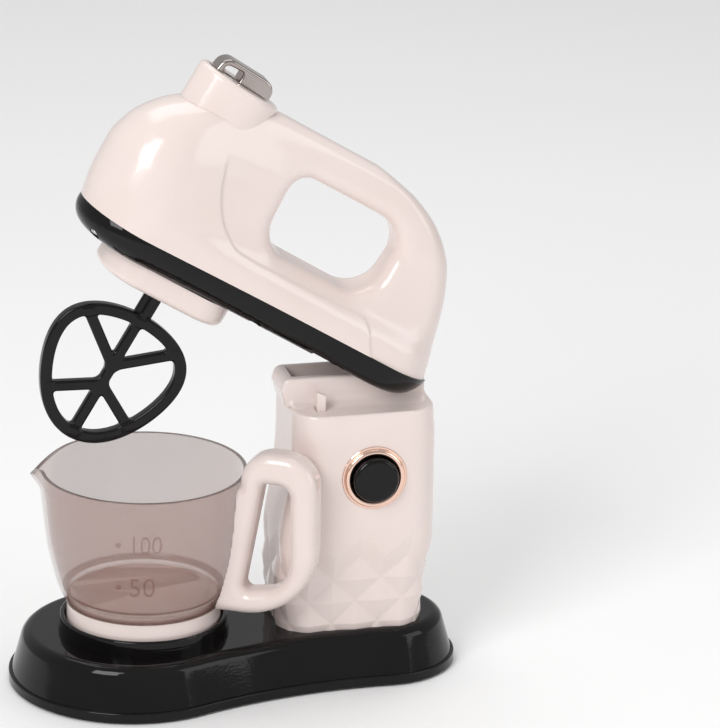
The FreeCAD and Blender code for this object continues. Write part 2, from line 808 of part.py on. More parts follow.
HullLevel = namedtuple("HullLevel", "height nose tail nose_radius tail_radius waist_radius")
upper_levels = [
    HullLevel(parting_height, head_nose, head_tail, head_nose_radius, head_tail_radius, head_waist_radius),
    HullLevel(9.0, head_nose - 1.6, head_tail - 2.2, 25.3, 20.6, head_waist_radius * 0.8),
    HullLevel(17.0, head_nose - 2.5, head_tail - 4.6, 25.2, 15.4, head_waist_radius * 0.45),
    HullLevel(27.0, head_nose - 2.8, head_tail - 7.4, 24.4, 12.6, head_waist_radius * 0.4),
    HullLevel(38.0, head_nose - 0.2, head_tail - 11.8, 21.8, 11.2, head_waist_radius * 0.4),
    HullLevel(48.0, head_nose + 6.2, head_tail - 18.8, 17.8, 10.2, head_waist_radius * 0.4),
    HullLevel(56.5, head_nose + 16.5, head_tail - 28.5, 13.4, 9.2, head_waist_radius * 0.4),
    HullLevel(63.0, head_nose + 31.0, head_tail - 42.0, 9.4, 7.6, head_waist_radius * 0.4),
    HullLevel(66.8, head_nose + 48.0, head_tail - 58.0, 5.6, 5.2, head_waist_radius * 0.4),
]
pan_levels = [
    HullLevel(pan_bottom, head_nose + 8.5, head_tail - 9.0, 18.6, 17.0, head_waist_radius),
    HullLevel(pan_bottom + 2.2, head_nose + 3.0, head_tail - 4.6, 22.4, 19.9, head_waist_radius),
    HullLevel(pan_bottom + 5.6, head_nose + 0.4, head_tail - 1.8, 24.6, 21.5, head_waist_radius),
    upper_levels[0],
]


def hull(levels, inset, top_drop=0.0, bottom_lift=0.0):
    """A smooth body through pear-shaped level outlines."""
    wires = []
    for index, level in enumerate(levels):
        z = level.height
        if index == 0:
            z += bottom_lift
        if index == len(levels) - 1:
            z -= top_drop
        wires.append(pear_outline(level.nose + level.nose_radius, level.nose_radius,
                                  level.tail - level.tail_radius, level.tail_radius,
                                  level.waist_radius, inset, z))
    return Part.makeLoft(wires, True, False)


def grip_window(growth, half_width):
    """The finger opening of the head's handle, grown by a wall."""
    points = [(grip_front - growth, grip_bottom - growth), (grip_rear + growth, grip_bottom - growth),
              (grip_rear + growth, grip_top + growth), (grip_front - growth, grip_top + growth)]
    radii = [grip_wide_corner, grip_wide_corner, grip_wide_corner, grip_tight_corner]
    return side_prism(points, [radius + growth for radius in radii], (-half_width, half_width))


def neck_slot(front, top):
    """The room that the neck swings in, open to the rear."""
    return block((front, head_tail + head_wall), (-slot_half_width, slot_half_width), (pan_bottom - 1, top))


def collar_blank(inset, bottom, top):
    front, rear = collar_front + inset, collar_rear - inset
    half = collar_half_width - inset
    middle = (front + rear) / 2
    oval = Part.Ellipse(Vector(middle, 0, bottom), (rear - front) / 2, half)
    return prism(Part.Wire(oval.toShape()), AXIS_Z * (top - bottom))


slider_slot = (slider_front + slider_bar / 2 - slider_travel - slide_gap, slider_rear - slider_bar / 2 + slide_gap)


def make_head_shells():
    """The upper housing in two halves that meet along the head's middle."""
    outer = hull(upper_levels, 0)
    window = grip_window(0, 2 * head_nose_radius)
    body = outer.cut(window)
    edge_reach = (grip_front - 1, grip_rear + 1)
    body = body.makeFillet(grip_edge_round, [
        edge for edge in body.Edges
        if edge.BoundBox.XMin > edge_reach[0] and edge.BoundBox.XMax < edge_reach[1]
        and edge.BoundBox.ZMin > grip_bottom - 1 and edge.BoundBox.ZMax < grip_top + 1
        and abs(edge.BoundBox.Center.y) > 2])
    room = hull(upper_levels, head_wall, head_wall).cut(grip_window(head_wall, 2 * head_nose_radius))
    below = block((head_nose, head_tail), (-head_nose_radius, head_nose_radius), (0, parting_height))
    shell = body.cut(room.fuse(below))
    bosses = []
    for x, y in head_screw_spots:
        for side in (-1, 1):
            boss = cylinder(boss_radius, screw_length + 2, Vector(x, side * y, parting_height))
            boss = boss.cut(cylinder(screw_radius + screw_gap, screw_length, Vector(x, side * y, parting_height)))
            bosses.append(boss.common(hull(upper_levels, head_wall / 2)))
    shell = shell.fuse(bosses)
    shell = shell.cut(neck_slot(hinge_lug_radius, tail_notch_top))
    opening = rounded_plate((collar_front + 3 * collar_wall, collar_rear - 3 * collar_wall),
                            collar_half_width / 2, collar_wall, (grip_top, collar_top + 1))
    shell = shell.cut(opening)
    halves = []
    for side in (-1, 1):
        y_limits = sorted((0, side * 2 * head_nose_radius))
        halves.append(shell.common(block((2 * head_nose, -head_nose), y_limits, (-1, 2 * collar_top))))
    return halves


def make_hinge_barrels():
    """The two barrels beside the neck slot that ride on the hinge pin, each on a web."""
    inside = hull(pan_levels, pan_wall / 2).fuse(hull(upper_levels, head_wall + seat_gap))
    barrels = []
    for side in (-1, 1):
        root = AXIS_Y * (side * slot_half_width)
        barrel = cylinder(barrel_radius, head_tail_radius - slot_half_width, root, AXIS_Y * side)
        web_y = sorted((side * slot_half_width, side * head_tail_radius))
        web = block((-hinge_pin_radius, hinge_pin_radius), web_y, (pan_bottom, 0))
        barrels.append(barrel.fuse(web).common(inside))
    return barrels


def make_lower_shell():
    """The dark pan that closes the head from below and carries the hinge."""
    outer = hull(pan_levels, 0)
    room = hull(pan_levels, pan_wall, 0, pan_wall)
    above = block((head_nose, head_tail), (-head_nose_radius, head_nose_radius),
                  (parting_height, parting_height + 1))
    pan = outer.cut(room.fuse(above))
    well_y = slot_half_width + well_wall
    well = block((slot_front - well_wall, head_tail), (-well_y, well_y), (pan_bottom, parting_height))
    fittings = [well.cut(neck_slot(slot_front, parting_height + 1))]
    stop_z = neck_top_z - hinge_z + slide_gap
    fittings.append(block((slot_front, slot_front + stop_length), (-well_y, well_y), (stop_z, parting_height)))
    for side in (-1, 1):
        for x, y in head_screw_spots:
            fittings.append(cylinder(boss_radius, parting_height - pan_bottom, Vector(x, side * y, pan_bottom)))
    inside = hull(pan_levels, pan_wall / 2)
    shell = pan.cut(neck_slot(slot_front, parting_height + 1))
    shell = fuse_all([shell] + [fitting.common(inside) for fitting in fittings] + make_hinge_barrels())
    for side in (-1, 1):
        for x, y in head_screw_spots:
            spot = Vector(x, side * y, pan_bottom - 1)
            shell = shell.cut(cylinder(screw_radius + screw_gap, pan_depth + 2, spot))
            shell = shell.cut(cylinder(screw_head_radius + seat_gap, head_screw_sink(), spot))
    pin_reach = hinge_pin_reach + slide_gap
    shell = shell.cut(cylinder(hinge_pin_radius + running_gap, 2 * pin_reach, AXIS_Y * -pin_reach, AXIS_Y))
    finger_x = latch_x - hinge_x
    reach = latch_width / 2 + latch_room
    shell = shell.cut(block((finger_x - reach, finger_x + reach), (latch_y() - 2 * slide_gap, -well_y - seat_gap),
                            (pan_bottom - 1, pan_floor + 1)))
    hole = cylinder(socket_radius + 2 * slide_gap, pan_depth, Vector(drive_x, 0, pan_bottom - 1))
    return shell.cut(hole).removeSplitter()


def head_screw_sink():
    """How far up the counterbore of the head's screws runs from 1 mm below the pan."""
    return 1 + screw_head_height + 2.0


def make_head_screws():
    screws = []
    seat_z = pan_bottom - 1 + head_screw_sink()
    length = parting_height + screw_length - 2 - seat_z
    for side in (-1, 1):
        for x, y in head_screw_spots:
            screws.append(screw(Vector(x, side * y, seat_z + length), AXIS_Z * -1, length))
    return Part.makeCompound(screws)


# ----------------------------------------------------- switch collar, slider


def make_switch_collar():
    """The oval cap on the head's top, which slopes a little to the rear."""
    root = grip_top
    blank = collar_blank(0, root, collar_top + 1)
    keep = side_prism([(collar_front - 1, root), (collar_rear + 1, root),
                       (collar_rear + 1, collar_top - collar_drop), (collar_front - 1, collar_top)],
                      [0] * 4, (-collar_half_width, collar_half_width))
    collar = blank.common(keep)
    collar = collar.makeFillet(collar_round, [
        edge for edge in collar.Edges if edge.BoundBox.ZMin > collar_top - collar_drop - 1])
    room_top = collar_top - collar_drop - collar_wall
    collar = collar.cut(collar_blank(collar_wall, root, room_top))
    collar = collar.cut(hull(upper_levels, -seat_gap))
    rail_y = (switch_half_width + seat_gap, switch_half_width + seat_gap + collar_wall)
    rails = []
    for side in (-1, 1):
        y_limits = sorted((side * rail_y[0], side * rail_y[1]))
        rails.append(block((switch_x - switch_half_length, switch_x + switch_half_length), y_limits,
                           (switch_bottom, room_top)))
    slot = rounded_plate(slider_slot, slider_neck_half_width + slide_gap, slide_gap,
                         (room_top - 1, collar_top + 1))
    return fuse_all([collar] + rails).cut(slot)


switch_half_length = 7.0
switch_half_width = 3.6
switch_x = (slider_front + slider_rear) / 2
switch_top = collar_top - collar_drop - collar_wall - 2.2
switch_height = 6.0
switch_bottom = switch_top - switch_height


def make_power_switch():
    """A small slide switch between the collar's rails, its slot facing up."""
    body = block((switch_x - switch_half_length, switch_x + switch_half_length),
                 (-switch_half_width, switch_half_width), (switch_bottom, switch_top))
    slot = block((switch_x - slider_travel - 1.5, switch_x + 1.5), (-1.2, 1.2),
                 (switch_top - 2.5, switch_top))
    pins = [cylinder(0.5, 3.0, Vector(switch_x + offset, 0, switch_bottom), AXIS_Z * -1)
            for offset in (-4.0, 0.0, 4.0)]
    return body.cut(slot).fuse(pins)


def slider_base_z(x):
    """The collar's sloping top under a point of the slider when it is fully forward."""
    share = (x - slider_travel - collar_front + 1) / (collar_rear - collar_front + 2)
    return collar_top - collar_drop * share + seat_gap


def make_slider():
    """A bright arched thumb piece: an open bow at the front and a full cheek behind."""
    front_z, rear_z = slider_base_z(slider_front), slider_base_z(slider_rear)
    half = slider_half_width
    arch = side_prism([(slider_front, front_z), (slider_rear, rear_z),
                       (slider_rear, rear_z + slider_height - 0.5), (slider_front + 1, front_z + slider_height - 0.8)],
                      [0, 0, 5.0, 5.0], (-half, half))
    window_rear = slider_front + slider_bar + slider_window
    window = side_prism([(slider_front + slider_bar, front_z - 1), (window_rear, front_z - 1),
                         (window_rear, front_z + slider_height - slider_bar - 0.7),
                         (slider_front + slider_bar, front_z + slider_height - slider_bar - 0.9)],
                        [0, 0, 1.0, 2.0], (-half, half))
    arch = arch.cut(window)
    arch = arch.makeFillet(slider_round, [
        edge for edge in arch.Edges
        if edge.BoundBox.YLength < 0.01 and edge.BoundBox.ZMax > front_z + slider_bar
        and edge.BoundBox.ZLength < slider_height])
    neck_front = slider_slot[0] + slider_travel + slide_gap
    neck_rear = slider_slot[1] - slide_gap
    plate_top_z = collar_top - collar_drop - collar_wall - seat_gap
    feet = []
    for x0, x1 in ((neck_front, neck_front + slider_bar), (neck_rear - slider_window, neck_rear)):
        feet.append(block((x0, x1), (-slider_neck_half_width, slider_neck_half_width),
                          (plate_top_z - 1, front_z + 1)))
    shoe = block((neck_front, neck_rear), (-switch_half_width, switch_half_width),
                 (plate_top_z - 1.4, plate_top_z))
    drop = block((switch_x - 1.0, switch_x + 1.0), (-0.9, 0.9), (switch_top - 2.0, plate_top_z))
    return fuse_all([arch, shoe, drop] + feet)


# --------------------------------------------------------------- drive train

frame_bottom = pan_floor + frame_rise
wheel_level = frame_bottom + frame_plate_thickness + gear_level_gap
upper_level = wheel_level + wheel_thickness + gear_level_gap
motor_plate_z = upper_level + wheel_thickness + 2 * gear_level_gap
motor_z = motor_plate_z + frame_plate_thickness


def gear(teeth, thickness, bore, base, phase):
    """An involute spur gear on a vertical axis, with a tooth centred at the phase angle."""
    pitch = gear_module * teeth / 2
    base_circle = pitch * math.cos(math.radians(pressure_angle))
    tip = pitch + gear_addendum * gear_module
    root = pitch - gear_dedendum * gear_module
    half_tooth = math.pi / (2 * teeth) - gear_backlash / (2 * pitch)

    def involute(angle):
        return math.tan(angle) - angle

    def half_angle(radius):
        roll = math.acos(min(1.0, base_circle / radius))
        return half_tooth + involute(math.radians(pressure_angle)) - involute(roll)

    def at(radius, angle):
        return Vector(base.x + radius * math.cos(angle), base.y + radius * math.sin(angle), base.z)

    start = max(base_circle, root)
    radii = [start + (tip - start) * step / 3 for step in range(4)]
    edges = []
    for index in range(teeth):
        centre = phase + index * 2 * math.pi / teeth
        rise = [at(radius, centre - half_angle(radius)) for radius in radii]
        fall = [at(radius, centre + half_angle(radius)) for radius in reversed(radii)]
        if root < base_circle:
            rise.insert(0, at(root, centre - half_angle(start)))
            fall.append(at(root, centre + half_angle(start)))
        for points in (rise, fall):
            edges += [Part.LineSegment(points[i], points[i + 1]).toShape() for i in range(len(points) - 1)]
            if points is rise:
                edges.append(arc(rise[-1], at(tip, centre), fall[0]))
        next_centre = centre + 2 * math.pi / teeth
        gap_start = centre + half_angle(start)
        gap_end = next_centre - half_angle(start)
        floor_radius = min(root, start)
        edges.append(arc(fall[-1], at(floor_radius, (gap_start + gap_end) / 2), at(floor_radius, gap_end)))
    wheel = Part.Face(Part.Wire(edges)).extrude(AXIS_Z * thickness)
    return wheel.cut(cylinder(bore, thickness, base))


def half_pitch(teeth):
    return math.pi / teeth


def frame_span():
    """Where the two frame plates start and end, a rim beyond their end posts."""
    margin = frame_post_radius + frame_rim
    return (frame_post_spots[0][0] - margin, frame_post_spots[-1][0] + margin)


def make_gear_frame():
    """The carrier plate on the pan's floor, with posts for the motor plate."""
    span = frame_span()
    plate = rounded_plate(span, frame_half_width, frame_half_width - 0.01,
                          (frame_bottom, frame_bottom + frame_plate_thickness))
    posts = [cylinder(frame_post_radius, motor_plate_z - frame_bottom, Vector(x, y, frame_bottom))
             for x, y in frame_post_spots]
    frame = fuse_all([plate] + posts)
    frame = frame.cut(cylinder(shaft_radius + running_gap, frame_plate_thickness, Vector(drive_x, 0, frame_bottom)))
    frame = frame.cut(cylinder(axle_radius, frame_plate_thickness, Vector(idler_x, 0, frame_bottom)))
    for x, y in frame_post_spots:
        frame = frame.cut(cylinder(0.9, 6.0, Vector(x, y, motor_plate_z - 6.0)))
    return frame


def make_motor_plate():
    span = frame_span()
    plate = rounded_plate(span, frame_half_width, frame_half_width - 0.01, (motor_plate_z, motor_z))
    plate = plate.cut(cylinder(motor_nose_radius + seat_gap, frame_plate_thickness, Vector(drive_x, 0, motor_plate_z)))
    plate = plate.cut(cylinder(axle_radius, frame_plate_thickness, Vector(idler_x, 0, motor_plate_z)))
    for x, y in frame_post_spots:
        plate = plate.cut(cylinder(0.9 + screw_gap, frame_plate_thickness, Vector(x, y, motor_plate_z)))
    return plate


def make_frame_screws():
    screws = []
    for x, y in frame_post_spots:
        shank = cylinder(0.9, 7.0, Vector(x, y, motor_z - 7.0))
        screws.append(shank.fuse(cylinder(1.7, 1.2, Vector(x, y, motor_z))))
    return Part.makeCompound(screws)


def make_motor():
    can = cylinder(motor_radius, motor_length, Vector(drive_x, 0, motor_z))
    can = can.common(block((drive_x - motor_radius, drive_x + motor_radius), (-motor_half_flat, motor_half_flat),
                           (motor_z, motor_z + motor_length)))
    nose = cylinder(motor_nose_radius, motor_nose_length, Vector(drive_x, 0, motor_z - motor_nose_length))
    cap = cylinder(motor_nose_radius, motor_nose_length, Vector(drive_x, 0, motor_z + motor_length))
    bore = cylinder(axle_radius + running_gap, motor_nose_length + 8.0,
                    Vector(drive_x, 0, motor_z - motor_nose_length))
    return fuse_all([can, nose, cap]).cut(bore)


def make_motor_shaft():
    return cylinder(axle_radius, motor_z - upper_level + 6.0, Vector(drive_x, 0, upper_level))


def make_motor_pinion():
    return gear(pinion_teeth, wheel_thickness, axle_radius, Vector(drive_x, 0, upper_level),
                half_pitch(pinion_teeth))


def make_idler_gear():
    low = Vector(idler_x, 0, wheel_level)
    high = Vector(idler_x, 0, upper_level)
    bore = axle_radius + running_gap
    pinion = gear(pinion_teeth, wheel_thickness + gear_level_gap, bore, low, half_pitch(pinion_teeth))
    wheel = gear(wheel_teeth, wheel_thickness, bore, high, 0)
    spacer = tube(gear_module * pinion_teeth / 2 - 1, bore, gear_level_gap, high - AXIS_Z * gear_level_gap)
    return fuse_all([pinion, spacer, wheel])


def make_idler_axle():
    return cylinder(axle_radius, motor_z - frame_bottom, Vector(idler_x, 0, frame_bottom))


def make_output_gear():
    return gear(wheel_teeth, wheel_thickness, shaft_radius, Vector(drive_x, 0, wheel_level), 0)


socket_top = frame_bottom - slide_gap


def make_output_shaft():
    """The vertical shaft with the beater's socket at its lower end."""
    upper = cylinder(shaft_radius, wheel_level + wheel_thickness - socket_top, Vector(drive_x, 0, socket_top))
    socket = cylinder(socket_radius, socket_top - cover_bottom, Vector(drive_x, 0, cover_bottom))
    bore = cylinder(shaft_radius + running_gap, cover_depth - 1.0, Vector(drive_x, 0, cover_bottom))
    return upper.fuse(socket).cut(bore).removeSplitter()


def make_output_bush():
    outer = socket_radius + running_gap + bush_wall
    return tube(outer, socket_radius + running_gap, cover_wall * 2, Vector(drive_x, 0, cover_bottom))


def make_gearbox_cover():
    front, rear = drive_x - cover_length / 2, drive_x + cover_length / 2
    cover = rounded_plate((front, rear), cover_half_width, cover_corner, (cover_bottom, pan_bottom))
    cover = round_edges(cover, cover_round, at_height(cover_bottom))
    room = rounded_plate((front + cover_wall, rear - cover_wall), cover_half_width - cover_wall,
                         cover_corner - cover_wall, (cover_bottom + cover_wall, pan_bottom))
    cover = cover.cut(room)
    bush_outer = socket_radius + running_gap + bush_wall
    collar = cylinder(bush_outer + cover_wall, cover_wall * 2, Vector(drive_x, 0, cover_bottom))
    lamp = Vector(drive_x + lamp_offset, 0, cover_bottom)
    lamp_boss = cylinder(lamp_radius + cover_wall, cover_wall * 1.5, lamp)
    cover = fuse_all([cover, collar, lamp_boss.common(cover.fuse(room))])
    cover = cover.cut(cylinder(bush_outer, cover_wall * 2, Vector(drive_x, 0, cover_bottom)))
    return cover.cut(cylinder(lamp_radius + seat_gap, cover_wall * 1.5, lamp))


def make_lamp_lens():
    lamp = Vector(drive_x + lamp_offset, 0, cover_bottom)
    body = cylinder(lamp_radius, cover_wall * 1.5, lamp)
    dome_radius = (lamp_radius ** 2 + lamp_proud ** 2) / (2 * lamp_proud)
    ball = Part.makeSphere(dome_radius, lamp + AXIS_Z * (dome_radius - lamp_proud))
    return body.fuse(ball.common(cylinder(lamp_radius, lamp_proud, lamp, AXIS_Z * -1))).removeSplitter()


# -------------------------------------------------------------------- beater


def beater_ring_points(inset, count=28):
    """The rounded-triangle ring, moved inwards along its normals."""
    centre = -(beater_top + beater_bottom) / 2
    half_height = (beater_bottom - beater_top) / 2

    def on_ring(angle):
        turn = math.cos(angle)
        x = beater_half_width * math.sin(angle) * (1 + beater_lean * turn + beater_square * turn ** 2)
        return Vector(drive_x + x, 0, centre + half_height * turn)

    points = []
    step = 2 * math.pi / count
    for index in range(count):
        angle = index * step
        along = (on_ring(angle + 0.01) - on_ring(angle - 0.01)).normalize()
        inwards = along.cross(AXIS_Y) * -1
        points.append(on_ring(angle) + inwards * inset)
    return points


def ring_wire(inset):
    curve = Part.BSplineCurve()
    points = [point - AXIS_Y * (beater_thickness / 2) for point in beater_ring_points(inset)]
    curve.interpolate(points, PeriodicFlag=True)
    return Part.Wire(curve.toShape())


def spoke(start, end, width, thickness):
    """A flat bar between two (x, z) points in the beater's plane."""
    along = Vector(end[0] - start[0], 0, end[1] - start[1])
    across = along.cross(AXIS_Y).normalize() * (width / 2)
    first = Vector(start[0], -thickness / 2, start[1])
    last = first + along
    corners = [first + across, last + across, last - across, first - across]
    return prism(rounded_polygon(corners, [0] * 4), AXIS_Y * thickness)


def make_beater():
    outer = prism(ring_wire(0), AXIS_Y * beater_thickness)
    inner = prism(ring_wire(beater_bar), AXIS_Y * beater_thickness)
    ring = outer.cut(inner)
    upper = (drive_x, -upper_hub_depth)
    lower = (drive_x, -lower_hub_depth)
    middle = beater_bar / 2
    spokes = [spoke((drive_x, -beater_top - middle), (drive_x, -beater_bottom + middle), spoke_width, spoke_thickness)]
    for side in (-1, 1):
        spokes.append(spoke(upper, (drive_x + side * upper_spoke_reach, -upper_spoke_depth), spoke_width, spoke_thickness))
        spokes.append(spoke(lower, (drive_x + side * lower_spoke_reach, -lower_spoke_depth), spoke_width, spoke_thickness))
    stem_top = cover_bottom - slide_gap
    stem_low = -beater_top - middle
    stem = []
    for half_x, half_y in ((stem_radius, stem_rib / 2), (stem_rib / 2, beater_thickness / 2)):
        stem.append(block((drive_x - half_x, drive_x + half_x), (-half_y, half_y), (stem_low, stem_top)))
    peg = cylinder(shaft_radius, cover_depth - 1.5 - slide_gap + 1.0, Vector(drive_x, 0, stem_top - 1.0))
    return fuse_all([ring, peg] + spokes + stem)


# --------------------------------------------------------------------- build


def build():
    left_half, right_half = make_head_shells()
    level_head = {
        "head_shell_left": left_half,
        "head_shell_right": right_half,
        "lower_shell": make_lower_shell(),
        "head_screws": make_head_screws(),
        "switch_collar": make_switch_collar(),
        "power_switch": make_power_switch(),
        "power_slider": make_slider(),
        "gear_frame": make_gear_frame(),
        "motor_plate": make_motor_plate(),
        "frame_screws": make_frame_screws(),
        "motor": make_motor(),
        "motor_shaft": make_motor_shaft(),
        "motor_pinion": make_motor_pinion(),
        "idler_gear": make_idler_gear(),
        "idler_axle": make_idler_axle(),
        "output_gear": make_output_gear(),
        "output_shaft": make_output_shaft(),
        "output_bush": make_output_bush(),
        "gearbox_cover": make_gearbox_cover(),
        "lamp_lens": make_lamp_lens(),
        "beater": make_beater(),
    }
    nodes = {
        "base_shell": make_base_shell(),
        "base_plate": make_base_plate(),
        "battery_door": make_battery_door(),
        "battery_cells": make_cells(),
        "battery_springs": make_battery_springs(),
        "battery_contacts": make_battery_contacts(),
        "rubber_feet": make_feet(),
        "base_screws": make_base_screws(),
        "stand_shell": make_stand_shell(),
        "neck": make_neck(),
        "stand_screws": make_stand_screws(),
        "hinge_pin": make_hinge_pin(),
        "button_bezel": make_button_bezel(),
        "release_button": make_release_button(),
        "latch_lever": make_latch(),
        "button_spring": make_button_spring(),
        "bowl_body": make_bowl(),
        "bowl_foot": make_bowl_foot(),
        "bowl_handle": make_bowl_handle(),
    }
    nodes.update({name: tilted(shape) for name, shape in level_head.items()})
    return nodes


os.makedirs("parts", exist_ok=True)
for node_name, node_shape in build().items():
    node_shape.exportStep(f"parts/{node_name}.step")
    print(node_name, len(node_shape.Solids), "solids", round(node_shape.Volume), "mm3", node_shape.isValid())
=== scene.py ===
import json
import math
from contextlib import contextmanager
import bmesh
import bpy
import numpy as np
from mathutils import Matrix, Vector


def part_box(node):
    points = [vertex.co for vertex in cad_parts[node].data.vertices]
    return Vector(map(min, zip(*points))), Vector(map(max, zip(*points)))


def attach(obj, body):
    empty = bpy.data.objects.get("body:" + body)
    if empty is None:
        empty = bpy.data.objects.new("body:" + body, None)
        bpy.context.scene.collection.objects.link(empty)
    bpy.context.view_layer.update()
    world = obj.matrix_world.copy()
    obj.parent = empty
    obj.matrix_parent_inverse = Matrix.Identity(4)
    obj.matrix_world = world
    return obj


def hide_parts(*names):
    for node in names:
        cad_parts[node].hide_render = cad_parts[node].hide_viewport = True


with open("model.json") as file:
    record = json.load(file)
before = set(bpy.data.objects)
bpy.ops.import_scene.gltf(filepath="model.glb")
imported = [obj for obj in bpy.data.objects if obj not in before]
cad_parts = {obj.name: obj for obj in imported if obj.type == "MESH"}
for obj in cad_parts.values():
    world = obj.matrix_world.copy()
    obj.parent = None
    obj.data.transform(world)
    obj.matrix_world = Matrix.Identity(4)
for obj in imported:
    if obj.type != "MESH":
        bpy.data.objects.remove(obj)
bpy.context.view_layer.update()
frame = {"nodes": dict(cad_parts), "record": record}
print("frame loaded")

mm = 0.001
nodeBody = {node: body for body, nodes in frame["record"]["behaviour"]["bodies"].items() for node in nodes}
nodeSlot = {row["node"]: row["material_slot"] for row in frame["record"]["subparts"]}

# the head's own directions: u runs to its tail, w stands on its parting plane
hingePlace = {"x": 63.0, "z": 128.0, "tilt": math.radians(31.0)}


def fromHead(points):
    points = np.asarray(points, float)
    cosTilt, sinTilt = math.cos(hingePlace["tilt"]), math.sin(hingePlace["tilt"])
    u, y, w = points[:, 0], points[:, 1], points[:, 2]
    return np.stack([hingePlace["x"] + u * cosTilt + w * sinTilt, y,
                     hingePlace["z"] - u * sinTilt + w * cosTilt], axis=1)


# finishes

class Value:
    # a socket that takes part in sums: each one adds the Math node it needs
    def __init__(self, look, socket):
        self.look = look
        self.socket = socket

    def sum(self, operation, first, second):
        return self.look.add("ShaderNodeMath", {"operation": operation}, {0: first, 1: second})

    def __add__(self, other):
        return self.sum("ADD", self, other)

    __radd__ = __add__

    def __sub__(self, other):
        return self.sum("SUBTRACT", self, other)

    def __rsub__(self, other):
        return self.sum("SUBTRACT", other, self)

    def __mul__(self, other):
        return self.sum("MULTIPLY", self, other)

    __rmul__ = __mul__


class Wiring:
    # a node tree and one way to add a node to it
    def feed(self, socket, value):
        if isinstance(value, Value):
            self.tree.links.new(value.socket, socket)
        else:
            socket.default_value = value

    def add(self, kind, settings, feeds, output=0):
        node = self.tree.nodes.new(kind)
        for key, value in settings.items():
            if key == "stops":
                for index, (spot, shade) in enumerate(value):
                    stop = node.color_ramp.elements[index]
                    stop.position = spot
                    stop.color = (shade, shade, shade, 1)
            else:
                setattr(node, key, value)
        for key, value in feeds.items():
            for part in value if isinstance(value, list) else [value]:
                self.feed(node.inputs[key], part)
        return Value(self, node.outputs[output])


class Look(Wiring):
    # one material and the nodes it is made of
    def __init__(self, name):
        self.material = bpy.data.materials.new(name)
        self.material.use_nodes = True
        self.tree = self.material.node_tree
        self.tree.nodes.clear()
        self.shader = self.tree.nodes.new("ShaderNodeBsdfPrincipled")
        self.output = self.tree.nodes.new("ShaderNodeOutputMaterial")
        self.tree.links.new(self.shader.outputs[0], self.output.inputs["Surface"])
        self.place = self.add("ShaderNodeTexCoord", {}, {}, "Object")

    def grain(self, scale, detail=3.0, stretch=None):
        place = self.place
        if stretch:
            place = self.add("ShaderNodeMapping", {}, {"Vector": place, "Scale": stretch})
        return self.add("ShaderNodeTexNoise", {}, {"Vector": place, "Scale": scale, "Detail": detail}, "Fac")

    def ramp(self, value, stops):
        return self.add("ShaderNodeValToRGB", {"stops": stops}, {"Fac": value})

    def tint(self, first, second, share):
        node = self.tree.nodes.new("ShaderNodeMix")
        node.data_type = "RGBA"
        self.feed(node.inputs["Factor"], share)
        colours = [socket for socket in node.inputs if socket.type == "RGBA"]
        self.feed(colours[0], first if isinstance(first, Value) else (*first, 1))
        self.feed(colours[1], (*second, 1))
        return Value(self, next(socket for socket in node.outputs if socket.type == "RGBA"))

    def relief(self, height, strength, distance):
        return self.add("ShaderNodeBump", {}, {"Height": height, "Strength": strength, "Distance": distance})

    def finish(self, values):
        for key, value in values.items():
            self.feed(self.shader.inputs[key], value)
        return self.material


def moulded(name, finish):
    # moulded plastic or rubber: cloudy colour, uneven gloss, a faint skin
    look = Look(name)
    cloud = look.grain(finish["cloudScale"])
    skin = look.grain(finish["skinScale"], 2.0)
    colour = look.tint(finish["colour"], finish["shade"], look.ramp(cloud, [(0.35, 0.0), (0.75, 1.0)]))
    look.finish({
        "Base Color": colour,
        "Roughness": finish["roughness"] + (look.grain(finish["wipeScale"], 4.0) - 0.5) * finish["wipe"],
        "Normal": look.relief(skin, finish["skin"], finish["skinDepth"]),
        "IOR": finish["ior"],
        "Coat Weight": finish["coat"],
        "Coat Roughness": finish["coatRoughness"],
    })
    return look.material


def metallic(name, finish):
    # bare or plated metal: fine drawn streaks and a few dull patches
    look = Look(name)
    streak = look.grain(finish["streakScale"], 3.0, finish["streakWay"])
    patch = look.grain(finish["patchScale"])
    look.finish({
        "Base Color": look.tint(finish["colour"], finish["shade"],
                                look.ramp(patch, [(0.4, 0.0), (0.8, 1.0)])),
        "Metallic": 1.0,
        "Roughness": finish["roughness"] + streak * finish["wipe"],
        "Normal": look.relief(streak, finish["skin"], finish["skinDepth"]),
    })
    return look.material


def tintedClear(name, finish):
    # clear smoked plastic, darker where it is seen through more of the wall; a negative rim value makes it
    # clearer and paints it lighter, painted light on the bowl's floor
    look = Look(name)
    swirl = look.grain(finish["cloudScale"])
    rim = look.add("ShaderNodeAttribute", {"attribute_name": "rim"}, {}, "Fac")
    body = look.tint(finish["colour"], finish["shade"], swirl)
    look.finish({
        "Base Color": look.tint(body, finish["rimColour"], rim * finish["rimShade"]),
        "Roughness": finish["roughness"] + look.grain(finish["wipeScale"], 4.0) * finish["wipe"],
        "Normal": look.relief(look.grain(finish["skinScale"], 2.0), finish["skin"], finish["skinDepth"]),
        "IOR": finish["ior"],
        "Alpha": finish["alpha"] + rim * finish["rimAlpha"],
        "Coat Weight": finish["coat"],
        "Coat Roughness": finish["coatRoughness"],
    })
    return look.material


